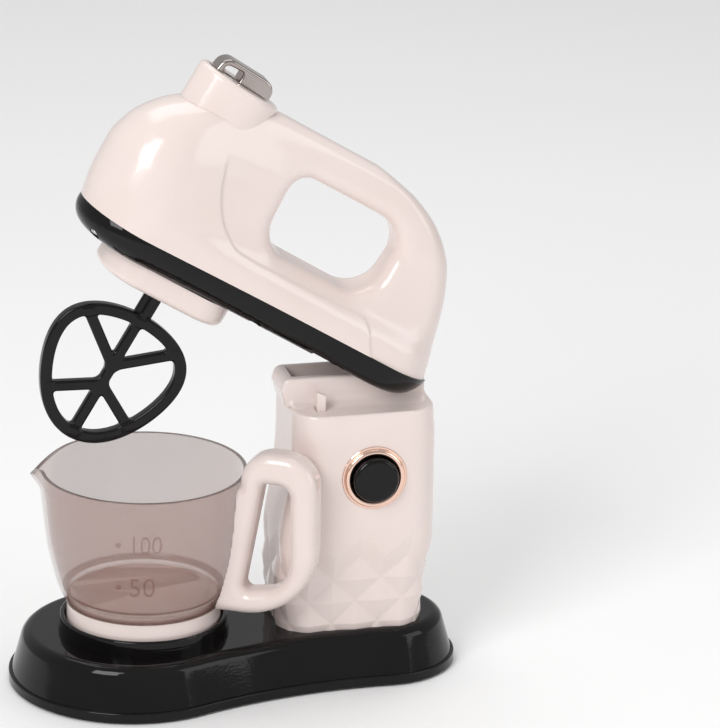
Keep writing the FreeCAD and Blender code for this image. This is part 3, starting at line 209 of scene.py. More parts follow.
plastic = {"cloudScale": 34.0, "skinScale": 900.0, "skin": 0.05, "skinDepth": 0.0003, "wipeScale": 160.0,
           "wipe": 0.08, "ior": 1.5, "coat": 0.3, "coatRoughness": 0.04}
metal = {"patchScale": 60.0, "streakScale": 500.0, "streakWay": (1.0, 0.2, 1.0), "wipe": 0.08, "skin": 0.03,
         "skinDepth": 0.0002}
finishes = {
    "cream": (moulded, {**plastic, "colour": (0.79, 0.68, 0.645), "shade": (0.765, 0.65, 0.61),
                        "roughness": 0.2}),
    "black_gloss": (moulded, {**plastic, "colour": (0.004, 0.0035, 0.004), "shade": (0.007, 0.006, 0.006),
                              "roughness": 0.07, "wipe": 0.04, "ior": 1.33, "coat": 0.0}),
    "black_satin": (moulded, {**plastic, "colour": (0.018, 0.018, 0.02), "shade": (0.03, 0.03, 0.032),
                              "roughness": 0.45, "coat": 0.0, "skin": 0.3}),
    "smoke": (tintedClear, {**plastic, "colour": (0.29, 0.135, 0.1), "shade": (0.33, 0.165, 0.125),
                            "cloudScale": 26.0, "roughness": 0.07, "wipeScale": 150.0, "wipe": 0.03,
                            "skinScale": 500.0, "skin": 0.03, "coatRoughness": 0.03, "alpha": 0.29,
                            "rimAlpha": 0.57, "rimShade": 0.75, "rimColour": (0.03, 0.028, 0.026)}),
    "rose_gold": (metallic, {**metal, "colour": (0.9, 0.64, 0.53), "shade": (0.85, 0.58, 0.47),
                             "roughness": 0.07, "wipe": 0.04}),
    "bright_metal": (metallic, {**metal, "colour": (0.44, 0.39, 0.37), "shade": (0.36, 0.31, 0.29),
                                "roughness": 0.08, "wipe": 0.03}),
    "steel": (metallic, {**metal, "colour": (0.58, 0.58, 0.6), "shade": (0.45, 0.45, 0.46),
                         "roughness": 0.28}),
    "white_nylon": (moulded, {**plastic, "colour": (0.76, 0.75, 0.7), "shade": (0.7, 0.69, 0.63),
                              "roughness": 0.42, "coat": 0.0, "skin": 0.2}),
    "rubber": (moulded, {**plastic, "colour": (0.02, 0.02, 0.02), "shade": (0.035, 0.035, 0.034),
                         "roughness": 0.75, "coat": 0.0, "skin": 0.5, "wipe": 0.15}),
    "cell_wrap": (moulded, {**plastic, "colour": (0.03, 0.07, 0.05), "shade": (0.02, 0.05, 0.04),
                            "roughness": 0.3}),
    "brass": (metallic, {**metal, "colour": (0.72, 0.5, 0.22), "shade": (0.6, 0.4, 0.17),
                         "roughness": 0.25}),
}
looks = {slot: make(slot, finish) for slot, (make, finish) in finishes.items()}
print("finishes ready:", len(looks))


# making meshes

def inScene(name, data):
    thing = bpy.data.objects.new(name, data)
    bpy.context.scene.collection.objects.link(thing)
    return thing


def addPiece(name, points, faces, smooth=True):
    # points are in millimetres, in the whole toy's directions
    mesh = bpy.data.meshes.new(name)
    faces = faces if isinstance(faces, list) else faces.tolist()
    mesh.from_pydata((np.asarray(points) * mm).tolist(), [], faces)
    mesh.validate()
    if smooth:
        mesh.shade_smooth()
    return inScene(name, mesh)


@contextmanager
def editing(piece):
    # a piece's mesh, open for changes and then written back
    work = bmesh.new()
    work.from_mesh(piece.data)
    yield work
    work.to_mesh(piece.data)
    work.free()


def faceOut(piece, merge=0.0):
    # joins points that lie together and turns every face outwards
    with editing(piece) as work:
        if merge:
            bmesh.ops.remove_doubles(work, verts=work.verts[:], dist=merge)
        bmesh.ops.recalc_face_normals(work, faces=work.faces[:])
    return piece


def settle(piece, standsFor, body=None, slot=None):
    # gives a finished piece its finish, its body and the nodes it stands for
    slot = slot or nodeSlot[standsFor[0]]
    body = body or nodeBody[standsFor[0]]
    piece.data.materials.clear()
    piece.data.materials.append(looks[slot])
    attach(piece, body)
    if standsFor:
        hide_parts(*standsFor)
    return piece


def smoothCurve(places, values):
    # a curve through measured levels that never swings past them
    xs, ys = np.array(places, float), np.array(values, float)
    gaps = np.diff(xs)
    rates = np.diff(ys) / gaps
    slopes = np.zeros_like(xs)
    slopes[0], slopes[-1] = rates[0], rates[-1]
    product = rates[:-1] * rates[1:]
    total = rates[:-1] + rates[1:]
    slopes[1:-1] = np.where(product > 0, 2 * product / np.where(total == 0, 1, total), 0)

    def at(x):
        inside = np.clip(x, xs[0], xs[-1])
        i = np.clip(np.searchsorted(xs, inside) - 1, 0, len(xs) - 2)
        t = (inside - xs[i]) / gaps[i]
        a, b = ys[i], ys[i + 1]
        ga, gb = slopes[i] * gaps[i], slopes[i + 1] * gaps[i]
        value = (a * (1 + 2 * t) * (1 - t) ** 2 + ga * t * (1 - t) ** 2
                 + b * t * t * (3 - 2 * t) + gb * t * t * (t - 1))
        return value + np.where(x < xs[0], slopes[0], slopes[-1]) * (x - inside)

    return at


def levelCurves(levels):
    # one curve up the height for each column of a table of levels
    heights, *columns = zip(*levels)
    return [smoothCurve(heights, column) for column in columns]


def smoothMax(a, b, width):
    share = np.clip(0.5 + 0.5 * (a - b) / width, 0.0, 1.0)
    return b + (a - b) * share + width * share * (1.0 - share)


def smoothMin(a, b, width):
    return -smoothMax(-a, -b, width)


def eased(x):
    x = np.clip(x, 0.0, 1.0)
    return x * x * (3 - 2 * x)


def roundedBox(px, pz, halfX, halfZ, radius):
    qx, qz = np.abs(px) - halfX + radius, np.abs(pz) - halfZ + radius
    return np.minimum(np.maximum(qx, qz), 0) + np.hypot(np.maximum(qx, 0), np.maximum(qz, 0)) - radius


def roundedPrism(flat, across, radius):
    # a flat outline given a thickness, with every edge rounded
    a, b = flat + radius, across + radius
    return np.minimum(np.maximum(a, b), 0) + np.hypot(np.maximum(a, 0), np.maximum(b, 0)) - radius


def skinOf(field, low, high, step):
    # the surface where a field is zero, as one quad mesh drawn on to the field
    axes = [np.arange(a, b + step, step) for a, b in zip(low, high)]
    grid = np.meshgrid(*axes, indexing="ij")
    depth = field(*grid)
    inside = depth < 0
    size = [n - 1 for n in depth.shape]
    corners = [(i, j, k) for i in (0, 1) for j in (0, 1) for k in (0, 1)]

    def corner(block, c):
        return block[c[0]:c[0] + size[0], c[1]:c[1] + size[1], c[2]:c[2] + size[2]]

    count = sum(corner(inside, c).astype(np.int8) for c in corners)
    active = (count > 0) & (count < 8)
    number = -np.ones(size, np.int64)
    number[active] = np.arange(active.sum())
    cells = np.argwhere(active)
    total = np.zeros((len(cells), 3))
    hits = np.zeros(len(cells))
    for index, a in enumerate(corners):
        for b in corners[index + 1:]:
            if sum(abs(p - q) for p, q in zip(a, b)) != 1:
                continue
            da, db = corner(depth, a)[active], corner(depth, b)[active]
            crossed = (da < 0) != (db < 0)
            share = np.where(crossed, da / np.where(crossed, da - db, 1), 0)[:, None]
            spot = np.array(a) + share * (np.array(b) - np.array(a))
            total += spot * crossed[:, None]
            hits += crossed
    points = np.array([axis[0] for axis in axes]) + (cells + total / hits[:, None]) * step
    faces = []
    for axis in range(3):
        first, second = (axis + 1) % 3, (axis + 2) % 3
        before, after = [slice(None)] * 3, [slice(None)] * 3
        before[axis], after[axis] = slice(0, -1), slice(1, None)
        change = inside[tuple(before)] != inside[tuple(after)]
        for other in (first, second):
            edge = [slice(None)] * 3
            edge[other] = slice(1, -1)
            full = np.zeros_like(change)
            full[tuple(edge)] = change[tuple(edge)]
            change = full
        spots = np.argwhere(change)
        ring = []
        for df, ds in ((-1, -1), (0, -1), (0, 0), (-1, 0)):
            cell = spots.copy()
            cell[:, first] += df
            cell[:, second] += ds
            ring.append(number[tuple(cell.T)])
        quads = np.stack(ring, axis=1)
        outwards = inside[tuple(spots.T)]
        quads[~outwards] = quads[~outwards][:, ::-1]
        faces.append(quads)
    faces = np.concatenate(faces)
    near = step * 0.02
    for _ in range(4):
        value = field(*points.T)
        nudges = near * np.eye(3)
        slope = np.stack([(field(*(points + nudge).T) - field(*(points - nudge).T)) / (2 * near)
                          for nudge in nudges], axis=1)
        length = np.maximum((slope ** 2).sum(axis=1), 0.05)
        move = slope * (value / length)[:, None]
        reach = np.linalg.norm(move, axis=1)
        move *= np.minimum(1, 0.4 * step / np.maximum(reach, 1e-9))[:, None]
        points = points - move
    return points, faces


def cutFlat(piece, point, normal):
    # removes what lies on the side that the normal points to
    with editing(piece) as work:
        geometry = work.verts[:] + work.edges[:] + work.faces[:]
        cut = bmesh.ops.bisect_plane(work, geom=geometry, dist=1e-7, plane_co=Vector(point) * mm,
                                     plane_no=Vector(normal), clear_outer=True)
        rim = [item for item in cut["geom_cut"] if isinstance(item, bmesh.types.BMEdge)]
        for face in bmesh.ops.contextual_create(work, geom=rim)["faces"]:
            face.smooth = False
        bmesh.ops.recalc_face_normals(work, faces=work.faces[:])


def madeMesh(piece):
    # a plain mesh of the piece with its modifiers done
    return bpy.data.meshes.new_from_object(piece.evaluated_get(bpy.context.evaluated_depsgraph_get()))


def carve(piece, *cutters):
    # takes the cutters' room out of a piece
    for cutter in cutters:
        tool = piece.modifiers.new("carve", "BOOLEAN")
        tool.operation = "DIFFERENCE"
        tool.solver = "EXACT"
        tool.object = cutter
        mesh = madeMesh(piece)
        piece.modifiers.remove(tool)
        old = piece.data
        piece.data = mesh
        bpy.data.meshes.remove(old)
        bpy.data.objects.remove(cutter)
    piece.data.name = piece.name


def cutterPrism(outline, yLow, yHigh, inHead=False):
    # a cutter from an outline of (x, z) points
    n = len(outline)
    points = [(x, y, z) for y in (yLow, yHigh) for x, z in outline]
    faces = [list(range(n)), [n + i for i in reversed(range(n))]]
    faces += [[i, n + i, n + (i + 1) % n, (i + 1) % n] for i in range(n)]
    points = fromHead(points) if inHead else np.array(points, float)
    return faceOut(addPiece("cutter", points, faces, smooth=False))


def cutterBox(low, high, inHead=False):
    return cutterPrism([(low[0], low[2]), (high[0], low[2]), (high[0], high[2]), (low[0], high[2])],
                       low[1], high[1], inHead)


def cutterCylinder(centre, radius, yLow, yHigh, count=96):
    turns = np.arange(count) * 2 * math.pi / count
    return cutterPrism([(centre[0] + radius * math.cos(t), centre[1] + radius * math.sin(t)) for t in turns],
                       yLow, yHigh)


def keepEdges(piece, angle):
    # smooth shading that stays crisp at edges sharper than the angle
    with editing(piece) as work:
        for face in work.faces:
            face.smooth = True
        for edge in work.edges:
            edge.smooth = edge.calc_face_angle(0.0) < math.radians(angle)


def refined(name, node, angle=28.0):
    # the frame's own solid, merged and shaded as a moulding
    mesh = frame["nodes"][node].data.copy()
    mesh.name = name
    piece = inScene(name, mesh)
    with editing(piece) as work:
        bmesh.ops.remove_doubles(work, verts=work.verts[:], dist=3e-6)
        bmesh.ops.dissolve_degenerate(work, edges=work.edges[:], dist=2e-6)
    keepEdges(piece, angle)
    weights = piece.modifiers.new("evenFlats", "WEIGHTED_NORMAL")
    weights.keep_sharp = True
    weights.weight = 100
    return settle(piece, [node])


# head housing

headSizes = {
    "step": 0.95, "parting": 1.8, "wall": 2.0, "topCap": 67.3, "topRound": 3.0,
    "holeMiddle": (-51.0, 34.75), "holeHalf": (26.0, 16.25), "holeCorner": 13.0, "holeTightCorner": 8.0,
    "edgeRound": 7.4, "panelProud": 0.85, "panelStep": 0.8, "panelFade": (38.0, 47.5),
    "slot": ((7.5, -10.1, -4.0), (30.0, 10.1, 6.6)),
    "switchWell": ((-125.6, -6.7, 50.0), (-103.4, 6.7, 80.0)),
}
# height, nose, tail, nose radius, tail radius, waist radius of the housing's levels
headLevels = [(1.8, -146.5, 16.0, 25.0, 22.0, 1000.0), (9.0, -148.1, 13.8, 25.3, 20.6, 800.0),
              (17.0, -149.0, 11.4, 25.2, 15.4, 450.0), (27.0, -149.3, 8.6, 24.4, 12.6, 400.0),
              (38.0, -146.7, 4.2, 21.8, 11.2, 400.0), (48.0, -140.3, -2.8, 17.8, 10.2, 400.0),
              (56.5, -130.0, -12.5, 13.4, 9.2, 400.0), (63.0, -115.5, -26.0, 9.4, 7.6, 400.0),
              (66.8, -98.5, -42.0, 5.6, 5.2, 400.0)]
headCurves = levelCurves(headLevels)
panelLine = smoothCurve([-108.9, -105.9, -100.3, -93.4, -85.8, -74.9, -55.0, -35.6, -26.4, -22.0, -18.9],
                        [45.5, 34.4, 24.6, 18.0, 14.1, 13.4, 13.3, 13.7, 13.9, 10.9, 6.0])


def headHull(u, y, w):
    nose, tail, noseRadius, tailRadius, waist = [curve(w) for curve in headCurves]
    along, across = u - (nose + noseRadius), np.abs(y)
    length = (tail - tailRadius) - (nose + noseRadius)
    lean = np.clip((noseRadius - tailRadius) / length, -0.9, 0.9)
    flat = np.sqrt(1 - lean ** 2)
    reach = -lean * across + flat * along
    side = flat * across + lean * along - noseRadius
    share = np.clip(reach / (flat * length), 0, 1)
    side = side + length ** 2 / (8 * waist) * (4 * share * (1 - share)) ** 1.5
    ends = np.where(reach < 0, np.hypot(across, along) - noseRadius,
                    np.hypot(across, along - length) - tailRadius)
    outline = np.where((reach >= 0) & (reach <= flat * length), side, ends)
    return smoothMax(outline, w - headSizes["topCap"], headSizes["topRound"])


def headHole(u, w, growth=0.0):
    middle, half = headSizes["holeMiddle"], headSizes["holeHalf"]
    px, pz = u - middle[0], w - middle[1]
    corner = np.where((px < 0) & (pz > 0), headSizes["holeTightCorner"], headSizes["holeCorner"])
    return roundedBox(px, pz, half[0] + growth, half[1] + growth, corner + growth)


def headField(u, y, w):
    above = panelLine(u) - w
    slope = (panelLine(u + 0.05) - panelLine(u - 0.05)) / 0.1
    proud = eased(0.5 + above / np.sqrt(1 + slope ** 2) / headSizes["panelStep"])
    low, high = headSizes["panelFade"]
    fade = 1 - eased((w - low) / (high - low))
    hull = headHull(u, y, w) + headSizes["panelProud"] * (1 - proud) * fade
    return smoothMax(hull, -headHole(u, w), headSizes["edgeRound"])


def headRoom(u, y, w):
    hull = headHull(u, y, w + headSizes["wall"] * 0.5) + headSizes["wall"] + headSizes["panelProud"]
    return smoothMax(hull, -headHole(u, w, headSizes["wall"]), headSizes["edgeRound"])


def makeHousing():
    size = headSizes
    up = fromHead([(0, 0, 1)])[0] - fromHead([(0, 0, 0)])[0]
    points, faces = skinOf(headField, (-152, -28, -2.5), (19, 28, 70), size["step"])
    housing = addPiece("headHousing", fromHead(points), faces)
    cutFlat(housing, fromHead([(0, 0, size["parting"])])[0], -up)
    points, faces = skinOf(headRoom, (-150, -26, -3.0), (17, 26, 68), 2.0)
    room = addPiece("cutter", fromHead(points), faces)
    cutFlat(room, fromHead([(0, 0, size["parting"] - 1.0)])[0], -up)
    carve(housing, room)
    carve(housing, cutterBox(*size["slot"], True), cutterBox(*size["switchWell"], True))
    keepEdges(housing, 35)
    return settle(housing, ["head_shell_left", "head_shell_right"])


makeHousing()
print("head housing done")


# stand: faceted body and the neck that holds the hinge

buttonPlace = {"x": 51.5, "z": 88.3, "wallY": -25.0, "sleeve": 11.0}
latchSlot = ((29.2, -17.8, 105.0), (33.2, -12.1, 120.0))
neckSlot = {"half": 6.7, "front": 31.0, "rear": 72.7}
standSizes = {
    "base": 22.0, "ledge": 115.0, "corner": 12.0, "wall": 2.4, "edgeRound": 1.3, "edgeRows": 4,
    "facetsRound": 10, "columns": 24, "rowHeight": 9.75, "rowSteps": 6, "facetMiddle": 54.0, "relief": 1.3,
}
# height, front, rear and half width of the stand's levels
standLevels = [(22.0, 15.0, 75.4, 21.8), (40.6, 14.0, 76.7, 23.4), (61.1, 15.5, 78.6, 25.0),
               (82.5, 18.8, 78.6, 25.0), (101.0, 20.0, 78.6, 25.0), (115.0, 20.0, 77.8, 24.6)]
standCurves = levelCurves(standLevels)


def standOutline(z, share, inset=0.0):
    # a point of the level outline, share of the way round from the middle of the button side
    front, rear, half = [float(curve(z)) for curve in standCurves]
    corner = standSizes["corner"] - inset
    coreX, coreY = (rear - front) / 2 - inset - corner, half - inset - corner
    middle = (front + rear) / 2
    quarter = corner * math.pi / 2
    runs = [coreX, quarter, 2 * coreY, quarter, 2 * coreX, quarter, 2 * coreY, quarter, coreX]
    travel = (share % 1.0) * sum(runs)
    spots = [(0, -coreY), (coreX, -coreY), (coreX, -coreY), (coreX, coreY), (coreX, coreY),
             (-coreX, coreY), (-coreX, coreY), (-coreX, -coreY), (-coreX, -coreY)]
    turn = -90.0
    for index, run in enumerate(runs):
        curved = index % 2 == 1
        if travel <= run or index == len(runs) - 1:
            break
        travel -= run
        turn += 90.0 if curved else 0.0
    x, y = spots[index]
    if curved:
        angle = math.radians(turn + 90.0 * travel / run)
    else:
        angle = math.radians(turn)
        x += -math.sin(angle) * travel
        y += math.cos(angle) * travel
    nx, ny = math.cos(angle), math.sin(angle)
    return middle + x + corner * nx, y + corner * ny, nx, ny


def facetShare(column, z):
    # how far a point of the lower stand lies from the middle of its diamond, 0 to 1
    size = standSizes
    turn = column / size["columns"] + 0.5
    best = 9.0
    if z <= size["facetMiddle"] + 1e-6:
        row = (z - size["facetMiddle"]) / size["rowHeight"]
        for level in (math.floor(row), math.ceil(row)):
            shift = 0.5 * (level % 2)
            side = abs((turn - shift + 0.5) % 1.0 - 0.5) * 2
            best = min(best, side + abs(row - level))
        return min(best, 1.0)
    rise = (z - size["facetMiddle"]) / size["rowHeight"]
    side = abs((turn + 0.5) % 1.0 - 0.5) * 2
    return max(0.0, side - rise)


def makeStandBody():
    size = standSizes
    rise = size["rowHeight"] / size["rowSteps"]
    firstRow = size["facetMiddle"] - rise * math.floor((size["facetMiddle"] - size["base"]) / rise)
    levels = [firstRow + rise * n for n in range(60)]
    levels = [size["base"]] + [z for z in levels if z < size["ledge"] - 3]
    levels = [z for n, z in enumerate(levels) if n == 0 or z - levels[n - 1] > 0.2]
    rows = [(z, 0.0) for z in levels]
    for n in range(size["edgeRows"] + 1):
        angle = math.pi / 2 * n / size["edgeRows"]
        rows.append((size["ledge"] - size["edgeRound"] * (1 - math.sin(angle)),
                     size["edgeRound"] * (1 - math.cos(angle))))
    count = size["facetsRound"] * size["columns"]
    front, rear, half = [float(curve(size["facetMiddle"])) for curve in standCurves]
    points, shares = [], []
    for z, inset in rows:
        for column in range(count):
            x, y, nx, ny = standOutline(z, column / count, inset)
            share = facetShare(column, z)
            points.append((x - nx * size["relief"] * share, y - ny * size["relief"] * share, z))
            shares.append(share)
    faces = []
    for row in range(len(rows) - 1):
        for column in range(count):
            a = row * count + column
            b = row * count + (column + 1) % count
            c, d = b + count, a + count
            if shares[a] + shares[c] > shares[b] + shares[d]:
                faces += [[a, b, c], [a, c, d]]
            else:
                faces += [[a, b, d], [b, c, d]]
    faces.append([(len(rows) - 1) * count + n for n in range(count)])
    body = addPiece("standBody", points, faces)
    wall = body.modifiers.new("wall", "SOLIDIFY")
    wall.thickness = size["wall"] * mm
    wall.offset = -1
    mesh = madeMesh(body)
    body.modifiers.clear()
    body.data = mesh
    carve(body, cutterCylinder((buttonPlace["x"], buttonPlace["z"]), buttonPlace["sleeve"] + 0.2, -30, -15),
          cutterBox(*latchSlot), cutterBox((neckSlot["front"], -neckSlot["half"], 100),
                                           (neckSlot["rear"], neckSlot["half"], 130)))
    keepEdges(body, 4.6)
    return settle(body, ["stand_shell"])


neckSizes = {
    "step": 0.6, "half": 9.5, "front": 16.6, "rear": 75.5, "top": 126.5,
    "ledge": 115.0, "fillet": 6.5, "spread": 1.7, "lug": 7.5, "lugPlace": (63.0, 128.0),
    "trimFront": 20.2, "trimRear": 76.4, "trimHalf": 15.5, "trimCorner": 7.0,
}


def neckField(x, y, z):
    size = neckSizes
    front = (size["front"] + 0.27 * np.clip(z - 121.3, 0, 9) + 0.30 * np.clip(121.3 - z, 0, 12)) - x
    top = z - size["top"]
    sides = np.abs(y) - size["half"]
    profile = smoothMax(smoothMax(front, top, 3.0), x - size["rear"], 3.0)
    lug = np.hypot(x - size["lugPlace"][0], z - size["lugPlace"][1]) - size["lug"]
    profile = smoothMin(profile, lug, 1.5)
    wall = roundedPrism(profile, sides, 1.3)
    foot = smoothMin(wall, (z - size["ledge"]) * size["spread"], size["fillet"])
    middle = (size["trimFront"] + size["trimRear"]) / 2
    trim = roundedBox(x - middle, y, size["trimRear"] - middle, size["trimHalf"], size["trimCorner"])
    return np.minimum(wall, smoothMax(foot, trim, 0.8))


def makeNeck():
    points, faces = skinOf(neckField, (12, -18, 111.0), (82, 18, 138), neckSizes["step"])
    neck = addPiece("standNeck", points, faces)
    cutFlat(neck, (0, 0, neckSizes["ledge"]), (0, 0, -1))
    front, rear, half = neckSlot["front"], neckSlot["rear"], neckSlot["half"]
    trough = [(21.4, 140.0), (21.4, 125.25), (30.4, 117.5), (front, 109.0), (rear, 109.0), (rear, 140.0)]
    carve(neck, cutterPrism(trough, -half, half), cutterBox(*latchSlot))
    keepEdges(neck, 35)
    return settle(neck, ["neck"])


makeStandBody()
makeNeck()
print("stand done")


# bowl handle: a closed rounded grip turned clear of the stand

bowlPlace = {"x": -37.0, "turn": math.radians(-30.0), "rim": 90.0, "skirt": 34.6, "rimRadius": 41.3}
# share of the way up the wall, share of the rim's radius
bowlWall = [(0, 0.765), (0.12, 0.835), (0.28, 0.893), (0.45, 0.941), (0.7, 0.978), (1.0, 1.0)]
bowlDepth = bowlPlace["rim"] - bowlPlace["skirt"]
bowlSide = smoothCurve([bowlPlace["skirt"] + bowlDepth * rise for rise, _ in bowlWall],
                       [bowlPlace["rimRadius"] * share for _, share in bowlWall])
gripSizes = {"step": 0.7, "half": 7.0, "round": 4.6, "corner": 1.6,
             "gap": 0.1, "footRadius": 31.1}


def roundedOutline(corners, radii, steps=14):
    # corner points replaced by arcs of the given radii
    outline = []
    count = len(corners)
    for index in range(count):
        here = np.array(corners[index], float)
        before = np.array(corners[index - 1], float) - here
        after = np.array(corners[(index + 1) % count], float) - here
        radius = radii[index]
        if radius <= 0:
            outline.append(here)
            continue
        before /= np.linalg.norm(before)
        after /= np.linalg.norm(after)
        half = math.acos(np.clip(before @ after, -1, 1)) / 2
        reach = radius / math.tan(half)
        middle = here + (before + after) / np.linalg.norm(before + after) * radius / math.sin(half)
        start, stop = here + before * reach - middle, here + after * reach - middle
        turn = math.atan2(start[0] * stop[1] - start[1] * stop[0], start @ stop)
        for n in range(steps + 1):
            angle = turn * n / steps
            outline.append(middle + np.array([start[0] * math.cos(angle) - start[1] * math.sin(angle),
                                              start[0] * math.sin(angle) + start[1] * math.cos(angle)]))
    return np.array(outline)


def outlineDistance(px, pz, outline):
    # signed distance to a closed outline, less than zero inside
    nearest = np.full(px.shape, 1e9)
    inside = np.zeros(px.shape, bool)
    for a, b in zip(outline, np.roll(outline, -1, axis=0)):
        run = b - a
        share = np.clip(((px - a[0]) * run[0] + (pz - a[1]) * run[1]) / max(run @ run, 1e-12), 0, 1)
        nearest = np.minimum(nearest, (px - a[0] - share * run[0]) ** 2 + (pz - a[1] - share * run[1]) ** 2)
        if a[1] != b[1]:
            over = (a[1] > pz) != (b[1] > pz)
            inside ^= over & (px < a[0] + (pz - a[1]) * run[0] / (b[1] - a[1]))
    return np.where(inside, -1, 1) * np.sqrt(nearest)


def mapped(flat, low, high, step):
    # a flat field worked out once on a fine grid and then read from it
    xs, zs = np.arange(low[0], high[0], step), np.arange(low[1], high[1], step)
    table = flat(*np.meshgrid(xs, zs, indexing="ij"))

    def at(px, pz):
        i = np.clip((px - xs[0]) / step, 0, len(xs) - 1.001)
        k = np.clip((pz - zs[0]) / step, 0, len(zs) - 1.001)
        i0, k0 = i.astype(int), k.astype(int)
        a, b = i - i0, k - k0
        return (table[i0, k0] * (1 - a) * (1 - b) + table[i0 + 1, k0] * a * (1 - b)
                + table[i0, k0 + 1] * (1 - a) * b + table[i0 + 1, k0 + 1] * a * b)

    return at


def makeGrip():
    size = gripSizes
    outer = roundedOutline([(26.0, 34.4), (73.0, 34.4), (73.0, 103.3), (42.6, 103.3), (41.4, 88.5),
                            (26.0, 88.5)], [0, 30.0, 14.0, 13.0, 0, 0])
    window = roundedOutline([(42.4, 43.7), (62.2, 46.7), (62.2, 90.3), (50.8, 90.3)], [2.5, 12.0, 5.0, 2.5])
    flat = mapped(lambda px, pz: smoothMax(outlineDistance(px, pz, outer), -outlineDistance(px, pz, window),
                                           size["corner"]), (20, 28), (80, 110), 0.35)

    def field(r, t, z):
        grip = roundedPrism(flat(r, z), np.abs(t) - size["half"], size["round"])
        skirt, rim = bowlPlace["skirt"], bowlPlace["rim"]
        wall = np.where(z > rim + 0.2, 0, bowlSide(np.clip(z, skirt, rim)))
        side = np.hypot(r, t) - wall - size["gap"]
        foot = np.where(z < skirt, np.hypot(r, t) - size["footRadius"], 99)
        return np.maximum(grip, -np.minimum(side, foot))

    points, faces = skinOf(field, (22, -9, 31), (76, 9, 106), size["step"])
    cosTurn, sinTurn = math.cos(bowlPlace["turn"]), math.sin(bowlPlace["turn"])
    r, t, z = points.T
    placed = np.stack([bowlPlace["x"] + r * cosTurn - t * sinTurn, r * sinTurn + t * cosTurn, z], axis=1)
    grip = addPiece("bowlGrip", placed, faces)
    keepEdges(grip, 50)
    return settle(grip, ["bowl_handle"])


makeGrip()
print("bowl grip done")


# whisk: a rounded-triangle ring with spokes

whiskSizes = {
    "step": 0.5, "drive": -100.0, "halfWidth": 28.6, "top": -29.3, "bottom": -86.6,
    "lean": 0.26, "square": 0.12, "bar": 4.8, "thick": 2.5, "spoke": 4.4, "spokeThick": 2.0,
    "round": 0.9, "joint": 1.6, "hubs": (-53.0, -61.5), "upperEnd": (21.5, -36.5), "lowerEnd": (21.0, -73.5),
    "stem": 3.8, "stemRib": 1.2, "stemTop": -18.8,
}


def barDistance(px, pz, start, end, half):
    ax, az = end[0] - start[0], end[1] - start[1]
    share = np.clip(((px - start[0]) * ax + (pz - start[1]) * az) / (ax * ax + az * az), 0, 1)
    return np.hypot(px - start[0] - share * ax, pz - start[1] - share * az) - half


def makeWhisk():
    size = whiskSizes
    turns = np.arange(160) * 2 * math.pi / 160
    tilt = np.cos(turns)
    ringX = size["halfWidth"] * np.sin(turns) * (1 + size["lean"] * tilt + size["square"] * tilt ** 2)
    ringZ = (size["top"] + size["bottom"]) / 2 + (size["top"] - size["bottom"]) / 2 * tilt
    ring = np.stack([ringX, ringZ], axis=1)
    middle = size["bar"] / 2

    def ringFlat(px, pz):
        return np.abs(outlineDistance(px, pz, ring) + middle) - middle

    def spokeFlat(px, pz):
        half = size["spoke"] / 2
        flat = barDistance(px, pz, (0, size["top"] - middle), (0, size["bottom"] + middle), half)
        for side in (-1, 1):
            for hub, end in zip(size["hubs"], (size["upperEnd"], size["lowerEnd"])):
                spoke = barDistance(px, pz, (0, hub), (side * end[0], end[1]), half)
                flat = smoothMin(flat, spoke, size["joint"])
        return flat

    low, high = (-32, -90), (32, -26)
    ringMap, spokeMap = mapped(ringFlat, low, high, 0.3), mapped(spokeFlat, low, high, 0.3)
    innerMap = mapped(lambda px, pz: outlineDistance(px, pz, ring), low, high, 0.3)

    def field(x, y, z):
        across = np.abs(y)
        ringPart = roundedPrism(ringMap(x, z), across - size["thick"], size["round"])
        spokes = roundedPrism(spokeMap(x, z), across - size["spokeThick"], size["round"])
        spokes = np.maximum(spokes, innerMap(x, z) + middle)
        web = roundedPrism(np.abs(x) - size["stem"], across - size["stemRib"], 0.5)
        rib = roundedPrism(np.abs(x) - size["stemRib"], across - size["thick"], 0.5)
        stem = np.maximum(np.minimum(web, rib), np.maximum(z - size["stemTop"], size["top"] - middle - z))
        return np.minimum(smoothMin(ringPart, spokes, size["joint"]), stem)

    points, faces = skinOf(field, (-30.5, -3.6, -88.5), (30.5, 3.6, -17.5), size["step"])
    points[:, 0] += size["drive"]
    whisk = addPiece("whisk", fromHead(points), faces)
    keepEdges(whisk, 50)
    return settle(whisk, ["beater"])


makeWhisk()
print("whisk done")


# bowl with its spout, and the raised graduations

# rim values darken the clear wall, and the floor's own value makes its floor clearer and paints it lighter,
# painted light falling on the floor from above
bowlSizes = {
    **bowlPlace, "spout": math.radians(150.0), "columns": 320, "rows": 26, "floor": 38.7, "under": 36.7,
    "wall": 1.7, "lip": 0.35, "floorRound": 2.2, "floorClearAndLit": -0.42, "spoutReach": 7.6, "spoutDroop": 9.0,
    "spoutDip": 2.1, "spoutHalf": 0.5, "spoutPoint": 1.75, "spoutRoot": 63.0, "spoutCurve": 2.3,
}


def ringMesh(name, rows, closedEnds=True):
    # rows of points joined into a tube, with a pole at each end
    count = len(rows[0])
    points = [point for row in rows for point in row]
    faces = []
    for row in range(len(rows) - 1):
        for column in range(count):
            a, b = row * count + column, row * count + (column + 1) % count
            faces.append([a, b, b + count, a + count])
    if closedEnds:
        faces.append([n for n in reversed(range(count))])
        faces.append([(len(rows) - 1) * count + n for n in range(count)])
    return faceOut(addPiece(name, points, faces))


